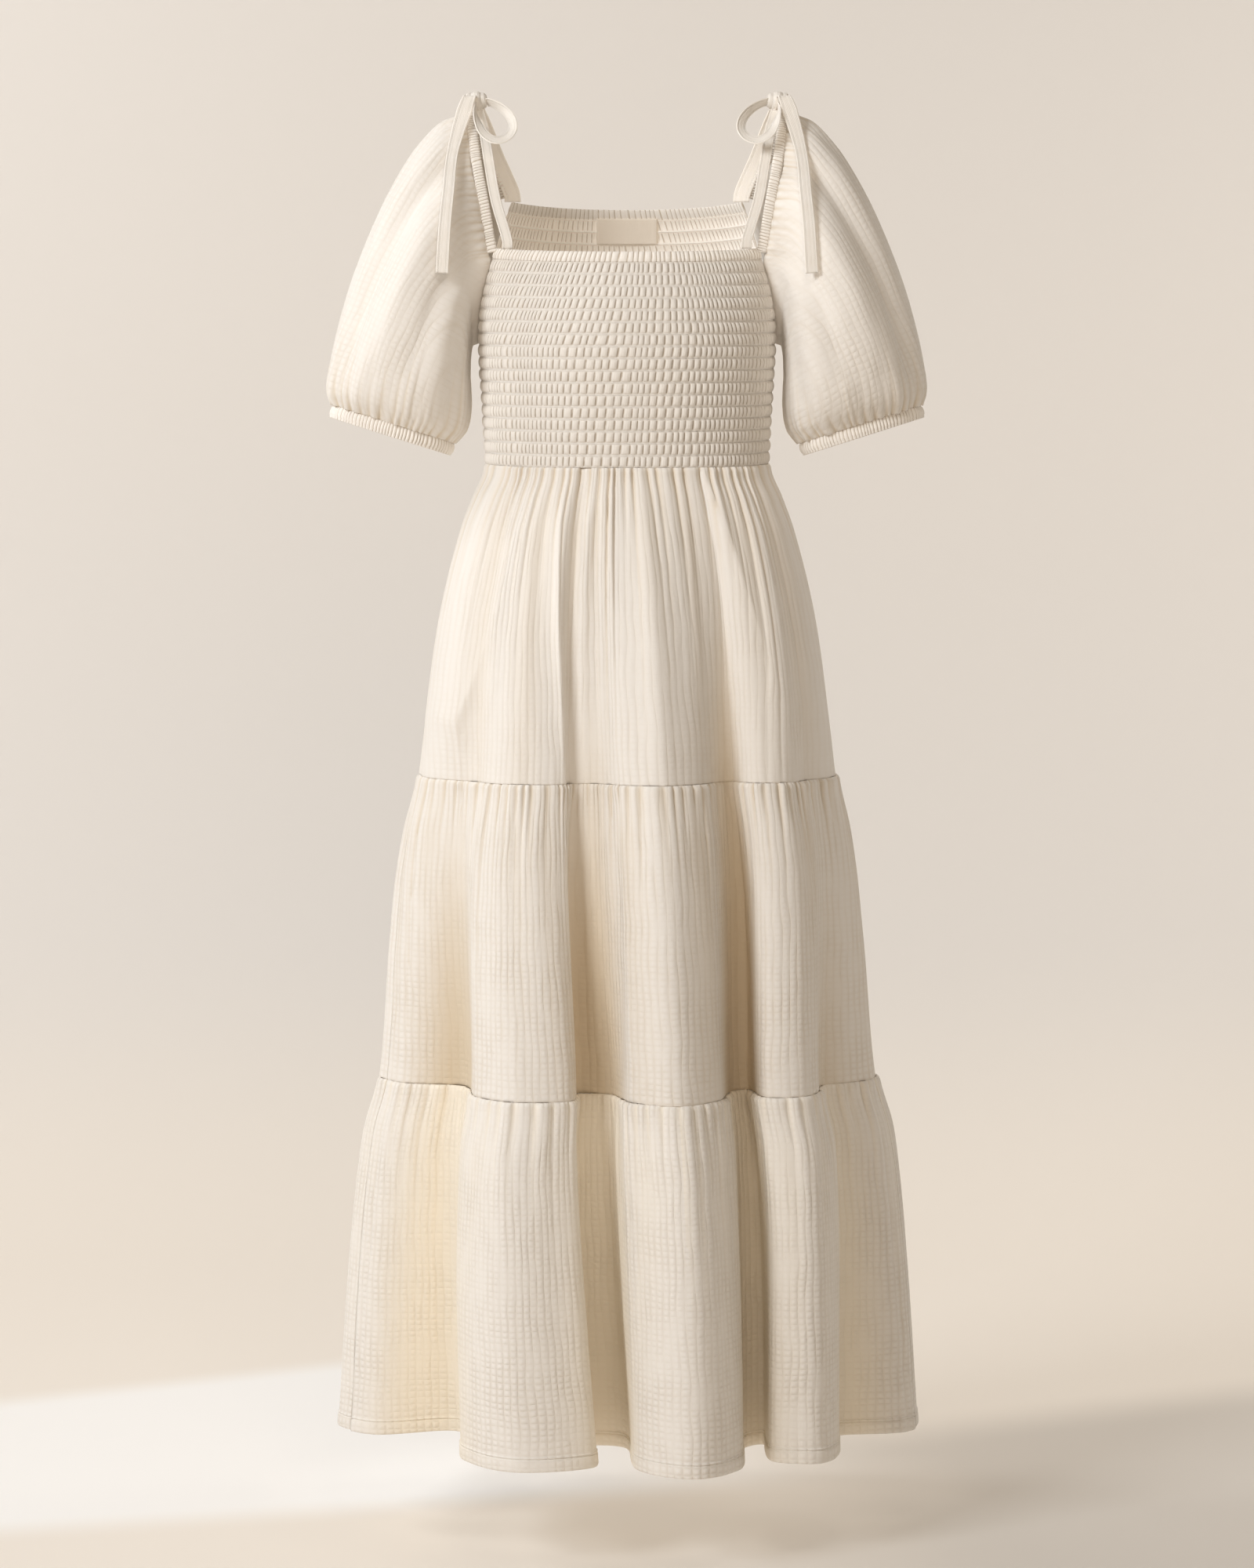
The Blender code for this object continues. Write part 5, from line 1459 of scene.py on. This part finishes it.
    def ruched_edge(self) -> Shell:
        """The ruched elastic casing along the sleeve's neckline edge."""
        ripples, each = 86, 6
        path = self.edge_path(ripples * each + 1)
        first = unit(path[0] - path[8])
        path = evenly(np.vstack([path[0] + first * self.edge_foot, path]), ripples * each + 1)
        along = np.linspace(0, ripples, ripples * each + 1)
        uneven = along + 0.5 * wandering(along, 2.3, 17 + self.mirrored)
        w = np.linspace(-1, 1, self.ruched.columns + 1)[None, :]
        count = uneven[:, None] + 0.22 * w
        wave = np.abs(np.sin(math.pi * count)) ** 0.9
        height = 0.75 + 0.35 * wandering(along, 1.3, 23 + self.mirrored)[:, None]
        lines = np.exp(-(((np.abs(w) - 0.72) / 0.12) ** 2))
        swell = 0.0018 * wave * height - 0.0005 * lines
        return self.stand(self.ruched.along(path, SIDEWAYS, swell=swell, count=count))

    def seat_on_knot(self, towards: Array) -> Array:
        """The point just clear of the knot, in the direction of another point."""
        centre, radii = np.array(self.knot_centre), np.array(self.knot_radii)
        ray = np.asarray(towards, float) - centre
        return centre + ray / np.linalg.norm(ray / radii)

    def strap(self, half: Bodice, foot_x: float, route: tuple, spread: float = 0.0) -> Shell:
        """A flat strap from its foot on a neck band up to the knot.

        Args:
            half: the half of the bodice that it is sewn to.
            foot_x: where it stands on the band.
            route: the points between its foot and the knot.
            spread: metres by which its foot is wider, outwards, than its end.

        Returns:
            The strap's shell.
        """
        foot = half.strap_foot(foot_x + spread / 2, 0.0004, 0.0070)
        path = np.vstack([foot, np.array(route), self.seat_on_knot(route[-1])])
        smooth = evenly(flowing(path, 24)[0], 61)
        rest = np.linspace(1, 0, 61)[:, None]
        across = SIDEWAYS + rest * (half.strap_slope(foot_x + spread / 2) if spread else 0.0)
        smooth = smooth + np.array([1.0, -0.7, 0.0]) * spread * rest * (1 - rest)
        return self.stand(self.tape.along(smooth, across, self.tape.width + spread * rest[:, 0]))

    def loop(self) -> Shell:
        """The bow's one loop, out of the knot's inner side and back under its front."""
        route = np.array(LOOP_ROUTE)
        route = np.vstack([self.seat_on_knot(route[0]), route, self.seat_on_knot(route[-1])])
        path = evenly(flowing(route, 24)[0], 91)
        radial = unit((path - path.mean(axis=0)) * (1, 0, 1))
        rest = np.linspace(0, 1, len(path))[:, None]
        tilt = np.array([0.0, 1.0, 0.0]) * 0.45 - radial * 0.55
        last = 0.30 * np.clip((rest - 0.6) / 0.4, 0, 1)
        return self.stand(self.tape.along(path, tilt * (1 - last) + SIDEWAYS * last))

    def tail(self) -> Shell:
        """The free end, in front of the sleeve and just clear of it."""
        near = self.outside.reshape(-1, 3)
        route = []
        for x, z in TAIL_ROUTE:
            apart = np.hypot(near[:, 0] - x, near[:, 2] - z)
            closest = near[(apart < 0.012) & (near[:, 1] < 0)]
            route.append((x, closest[:, 1].min() - self.tail_clearance, z))
        centre = np.array(self.knot_centre)
        start = self.seat_on_knot((0.1580, -0.0160, 0.0040))
        route = [start, start + unit(start - centre) * 0.0045] + route
        path = evenly(flowing(np.array(route), 24)[0], 101)
        widths = np.interp(np.linspace(0, 1, 101), (0.0, 0.10, 0.34, 1.0), (0.0120, 0.0158, 0.0118, 0.0130))
        return self.stand(self.tape.along(path, SIDEWAYS, widths))

    def knot(self) -> Shell:
        """The wrapped end of the ties: the tape wound over itself, with its turns and pleats showing."""
        centre, radii = np.array(self.knot_centre), np.array(self.knot_radii)
        down = np.linspace(0.06, math.pi - 0.06, 49)[:, None]
        turn = (np.arange(72) * 2 * math.pi / 72)[None, :]
        axis_share = np.cos(down) + 0 * turn
        slant = axis_share + 0.16 * np.cos(turn - 0.6)
        bands = np.abs(np.sin(math.pi * (slant * 1.35 + 0.25))) ** 0.7
        pleats = np.abs(np.sin(math.pi * (slant * 5.4 + 0.2 * np.sin(2 * turn)))) ** 0.8
        size = 0.80 + 0.15 * bands + 0.05 * pleats
        along = np.sign(axis_share) * np.abs(axis_share) ** 0.8
        ring = np.sin(down) ** 0.6
        points = np.stack([-along, ring * np.sin(turn) * -1, ring * np.cos(turn)], axis=-1)
        points = centre + points * radii * np.array([0.95, 1.0, 1.0]) * size[..., None]
        u, v = turn * 0.012, down * 0.012
        deep = (1 - bands) * 0.8
        skin = seven(points, u, v, 0.0, deep)
        core = centre + (points - centre) * np.array([0.9, 0.55, 0.55])
        return self.stand(Shell().close(skin, seven(core[::6, ::6], u[:, ::6], v[::6], 0.0, 0.5), wrap=True))


# The lights: name, where it stands, the point that it faces, its side in metres, its watts and its colour
LIGHT_ROWS = (
    ("key", (-2.60, -2.85, 1.50), (0.0, 0.0, -0.65), 1.5, 103.0, (0.955, 0.975, 1.0)),
    ("fill", (0.6, -4.4, 0.5), (0.0, 0.0, -0.7), 1.2, 18.0, (1.0, 0.80, 0.60)),
    ("collar", (0.15, -1.35, 0.90), (0.0, 0.05, -0.15), 0.5, 4.2, (1.0, 0.91, 0.80)),
    ("wall_left", (-3.2, 0.6, 1.8), (0.2, 2.6, -0.4), 1.6, 53.0, (1.0, 0.98, 0.96)),
    ("wall_right", (2.6, 0.8, 0.4), (1.0, 2.6, -1.5), 1.2, 21.0, (1.0, 0.96, 0.91)),
)


@dataclass(frozen=True)
class Studio:
    """The pale floor and backdrop, the lights and the camera."""

    camera_place: tuple[float, float, float] = (0.0, -4.3, -0.4036)
    camera_lens: float = 96.75
    camera_tilt: float = math.atan(0.288 / 4.3)
    floor_height: float = -1.455
    wall_colour: tuple[float, float, float] = (0.86, 0.830, 0.795)
    floor_colour: tuple[float, float, float] = (0.54, 0.520, 0.495)
    # The floor's painted light: an even glow in the glow colour, a painted shade on the right that takes
    # shade_loss from it, a painted glow under the dress that lifts its shadow, and a brighter painted pool of
    # light on the left between the patch's edges.
    glow_colour: tuple[float, float, float] = (1.0, 0.86, 0.70)
    floor_glow: float = 0.36
    shade_edge: tuple[float, float] = (0.245, 0.52)
    shade_loss: float = 0.17
    under_glow: float = 0.09
    patch_far: tuple[float, float] = (0.99, 0.57)
    patch_near: tuple[float, float] = (0.12, 0.26)
    patch_soft: float = 0.06
    patch_end: float = 0.05
    patch_glow: float = 0.08
    wall_distance: float = 2.6
    bend: float = 1.2

    def camera(self) -> None:
        """The photograph's view: a long lens, a little down."""
        data = bpy.data.cameras.new("camera")
        data.sensor_width = 36.0
        data.sensor_fit = "AUTO"
        data.lens = self.camera_lens
        data.clip_end = 60.0
        eye = bpy.data.objects.new("camera", data)
        eye.location = self.camera_place
        eye.rotation_euler = (math.pi / 2 - self.camera_tilt, 0.0, 0.0)
        bpy.context.scene.collection.objects.link(eye)
        bpy.context.scene.camera = eye

    def paper(self) -> bpy.types.Material:
        """Pale paper with painted light: an even glow over the floor, a brighter painted pool of light on its
        left, a painted shade on its right and a painted glow under the dress.

        From behind the sheet it can be seen through, so that a view from there still shows the dress.
        """
        nodes = Nodes("backdrop_paper")
        geometry = nodes.tree.nodes.new("ShaderNodeNewGeometry")
        clear = nodes.tree.nodes.new("ShaderNodeBsdfTransparent")
        sided = nodes.tree.nodes.new("ShaderNodeMixShader")
        output = next(node for node in nodes.tree.nodes if node.type == "OUTPUT_MATERIAL")
        nodes.link(geometry.outputs["Backfacing"], sided.inputs[0])
        nodes.link(nodes.shader.outputs[0], sided.inputs[1])
        nodes.link(clear.outputs[0], sided.inputs[2])
        nodes.link(sided.outputs[0], output.inputs["Surface"])
        place = geometry.outputs["Position"]
        parts = nodes.tree.nodes.new("ShaderNodeSeparateXYZ")
        nodes.link(place, parts.inputs[0])
        x, y, z = (parts.outputs[axis] for axis in "XYZ")
        low = nodes.ramp(z, self.floor_height + 0.4, self.floor_height)
        nodes.link(nodes.mix(low, self.wall_colour, self.floor_colour), nodes.shader.inputs["Base Color"])
        # The painted pool of light on the floor's left: lit is its mask.
        edges = []
        for (at, slope), soft in ((self.patch_far, -self.patch_soft), (self.patch_near, self.patch_soft)):
            beyond = nodes.math("SUBTRACT", y, nodes.math("MULTIPLY", x, slope))
            edges.append(nodes.ramp(beyond, at - soft, at + soft))
        side = nodes.ramp(x, self.patch_end + 0.30, self.patch_end - 0.30)
        lit = nodes.math("MULTIPLY", nodes.math("MULTIPLY", *edges), nodes.math("MULTIPLY", side, low))
        nodes.link(nodes.mix(lit, self.glow_colour, (1.0, 0.98, 0.95)), nodes.shader.inputs["Emission Color"])
        # A painted shade over the floor's right.
        behind = nodes.math("SUBTRACT", y, nodes.math("MULTIPLY", x, self.shade_edge[1]))
        shaded = nodes.ramp(behind, self.shade_edge[0] + 0.10, self.shade_edge[0] - 0.10)
        shaded = nodes.math("MULTIPLY", shaded, nodes.ramp(x, 0.02, 0.42))
        # A painted glow under the dress that lifts its shadow.
        wide = nodes.math("DIVIDE", x, 0.42)
        long = nodes.math("DIVIDE", nodes.math("SUBTRACT", y, 0.12), 0.34)
        away = nodes.math("ADD", nodes.math("MULTIPLY", wide, wide), nodes.math("MULTIPLY", long, long))
        under = nodes.ramp(away, 1.0, 0.1)
        # The emission is painted light: an even glow, less in the painted shade, more under the dress and in
        # the painted pool of light.
        painted_glow = nodes.math("SUBTRACT", self.floor_glow, nodes.math("MULTIPLY", shaded, self.shade_loss))
        painted_glow = nodes.math("ADD", painted_glow, nodes.math("MULTIPLY", under, self.under_glow))
        painted_glow = nodes.math("MULTIPLY", low, painted_glow)
        painted_glow = nodes.math("ADD", painted_glow, nodes.math("MULTIPLY", lit, self.patch_glow))
        nodes.link(painted_glow, nodes.shader.inputs["Emission Strength"])
        nodes.shader.inputs["Roughness"].default_value = 0.95
        nodes.shader.inputs["Specular IOR Level"].default_value = 0.1
        return nodes.material

    def backdrop(self) -> None:
        """The floor and the wall as one sheet with a soft bend between them."""
        bend = np.linspace(0, math.pi / 2, 25)
        flat_end = self.wall_distance - self.bend
        profile = [(-9.0, 0.0)]
        profile += [(flat_end + self.bend * math.sin(a), self.bend * (1 - math.cos(a))) for a in bend]
        profile += [(self.wall_distance, 5.5)]
        xs = np.linspace(-7, 7, 15)
        points = [(x, y, self.floor_height + z) for y, z in profile for x in xs]
        faces = []
        for i in range(len(profile) - 1):
            for j in range(len(xs) - 1):
                a = i * len(xs) + j
                faces.append((a, a + 1, a + len(xs) + 1, a + len(xs)))
        mesh = bpy.data.meshes.new("backdrop")
        mesh.from_pydata(points, [], faces)
        mesh.shade_smooth()
        mesh.materials.append(self.paper())
        sheet = bpy.data.objects.new("backdrop", mesh)
        bpy.context.scene.collection.objects.link(sheet)

    @staticmethod
    def area_light(name: str, place: tuple, towards: tuple, size: tuple, watts: float, colour: tuple) -> None:
        """One soft rectangular light.

        Args:
            name: the light's name.
            place: where it stands.
            towards: the point that it faces.
            size: its width and height.
            watts: its power.
            colour: its colour.
        """
        data = bpy.data.lights.new(name, "AREA")
        data.shape = "RECTANGLE"
        data.size, data.size_y = size
        data.energy = watts
        data.color = colour
        lamp = bpy.data.objects.new(name, data)
        lamp.location = place
        aim = np.array(towards) - np.array(place)
        yaw = math.atan2(aim[0], aim[1])
        lamp.rotation_euler = (math.atan2(-aim[2], math.hypot(aim[0], aim[1])) * -1 + math.pi / 2, 0.0, -yaw)
        bpy.context.scene.collection.objects.link(lamp)

    def lights(self) -> None:
        """A large key from the left, weak warm lights on the front, two on the wall and a warm room."""
        for name, place, towards, side, watts, colour in LIGHT_ROWS:
            self.area_light(name, place, towards, (side, side), watts, colour)
        world = bpy.data.worlds.new("room")
        world.use_nodes = True
        background = world.node_tree.nodes["Background"]
        background.inputs["Color"].default_value = (1.0, 0.830, 0.640, 1.0)
        background.inputs["Strength"].default_value = 0.155
        bpy.context.scene.world = world
        bpy.context.scene.view_settings.view_transform = "Standard"

    def set_up(self) -> None:
        """Builds the whole studio."""
        self.camera()
        self.backdrop()
        self.lights()


TIERS = (
    Tier(1, WAIST, SEAM_1, 36, 0.0064, 0.085, 540, 62, (0.05, 0.40), (0.66, 0.34), False),
    Tier(1, WAIST, SEAM_1, 40, 0.0050, 0.080, 400, 44, (0.05, 0.40), (0.66, 0.34), True),
    Tier(2, SEAM_1, SEAM_2, 50, 0.0058, 0.056, 590, 62, (0.15, 0.75), (0.96, 0.33), False),
    Tier(2, SEAM_1, SEAM_2, 50, 0.0056, 0.056, 440, 44, (0.15, 0.75), (0.96, 0.33), True),
    Tier(3, SEAM_2, HEM, 58, 0.0064, 0.058, 650, 62, (0.45, 1.00), (1.40, 0.39), False),
    Tier(3, SEAM_2, HEM, 58, 0.0062, 0.058, 510, 44, (0.45, 1.00), (1.40, 0.39), True),
)


# Where the straps stand on the neck bands, and by how much the back strap's foot is wider than its end
FRONT_FOOT_X, BACK_FOOT_X, BACK_FOOT_SPREAD = 0.1196, 0.1128, 0.0090
LABEL_WIDTH, LABEL_HEIGHT, LABEL_TOP = 0.0630, 0.0260, -0.1120
LABEL_DEPTH, LABEL_THICKNESS = 0.0020, 0.0009

# The neck casing's flat size is that of the casing as modelled. A real ruched one would be cut longer
NECK_CASING_CUT = (0.29, 0.0125)


def build_bodice(wardrobe: Wardrobe) -> tuple[Bodice, Bodice]:
    """Builds both halves of the bodice, their neck bands and the label, and returns the halves."""
    front = Bodice(False, FRONT_TOP, FRONT_CORNER_DEG, 17, 66, 7, 6, band_ribs=66, seed=7)
    back = Bodice(True, BACK_TOP, BACK_CORNER_DEG, 21, 56, 5, 5, band_ribs=54, seed=11)
    for half, word, cut in ((front, "front", (0.54, 0.205)), (back, "back", (0.50, 0.26))):
        choice = Finish.BACK if half.behind else Finish.SHIRRED
        wardrobe.dress(half.sheet(), f"bodice_{word}", choice, cut)
        band = f"neck_band_{word}"
        wardrobe.dress(half.band(), band, Finish.RIBBED, NECK_CASING_CUT)
    label = back.label(LABEL_WIDTH, LABEL_HEIGHT, LABEL_TOP, LABEL_DEPTH, LABEL_THICKNESS)
    wardrobe.dress(label, "label", Finish.LABEL, (LABEL_WIDTH, LABEL_HEIGHT))
    return front, back


def build_skirt(wardrobe: Wardrobe) -> None:
    """Builds the three tiers, front and back."""
    skirt = Skirt()
    finishes = {1: Finish.SOFT, 2: Finish.CRINKLED, 3: Finish.CHECKED}
    for tier in TIERS:
        wardrobe.dress(tier.sheet(skirt), tier.name, finishes[tier.number], tier.cut)


def build_shoulders(wardrobe: Wardrobe, front: Bodice, back: Bodice) -> None:
    """Builds both sleeves with their cuffs, ruched edges, straps and bows."""
    for mirrored in (True, False):
        made = Shoulder(front, back, mirrored)
        word = made.word
        front_strap = made.strap(front, FRONT_FOOT_X, FRONT_STRAP_ROUTE)
        back_strap = made.strap(back, BACK_FOOT_X, BACK_STRAP_ROUTE, BACK_FOOT_SPREAD)
        pieces = (
            (made.sleeve(), "sleeve", Finish.SOFT, (0.52, 0.30), Held.GATHERED),
            (made.cuff(), "cuff", Finish.RIBBED, (0.36, 0.0140), Held.STRETCHED),
            (made.ruched_edge(), "sleeve_edge", Finish.RIBBED, (0.42, 0.0105), Held.STRETCHED),
            (front_strap, "strap_front", Finish.TAPE, (0.0106, 0.170), Held.HUNG),
            (back_strap, "strap_back", Finish.BACK_TAPE_PAINTED_GLOW, (0.0150, 0.120), Held.HUNG),
            (made.knot(), "knot", Finish.TAPE, (0.0212, 0.050), Held.FOLDED),
            (made.loop(), "loop", Finish.TAPE, (0.0106, 0.150), Held.HUNG),
            (made.tail(), "tail", Finish.TAPE, (0.0118, 0.215), Held.HUNG),
        )
        for shell, kind, choice, cut, held in pieces:
            wardrobe.dress(shell, f"{kind}_{word}", choice, cut)


def main() -> None:
    """Builds the scene in order."""
    logging.basicConfig(level=logging.INFO, format="%(message)s")
    Studio().set_up()
    wardrobe = Wardrobe()
    front, back = build_bodice(wardrobe)
    build_skirt(wardrobe)
    build_shoulders(wardrobe, front, back)


if __name__ == "__main__":
    main()
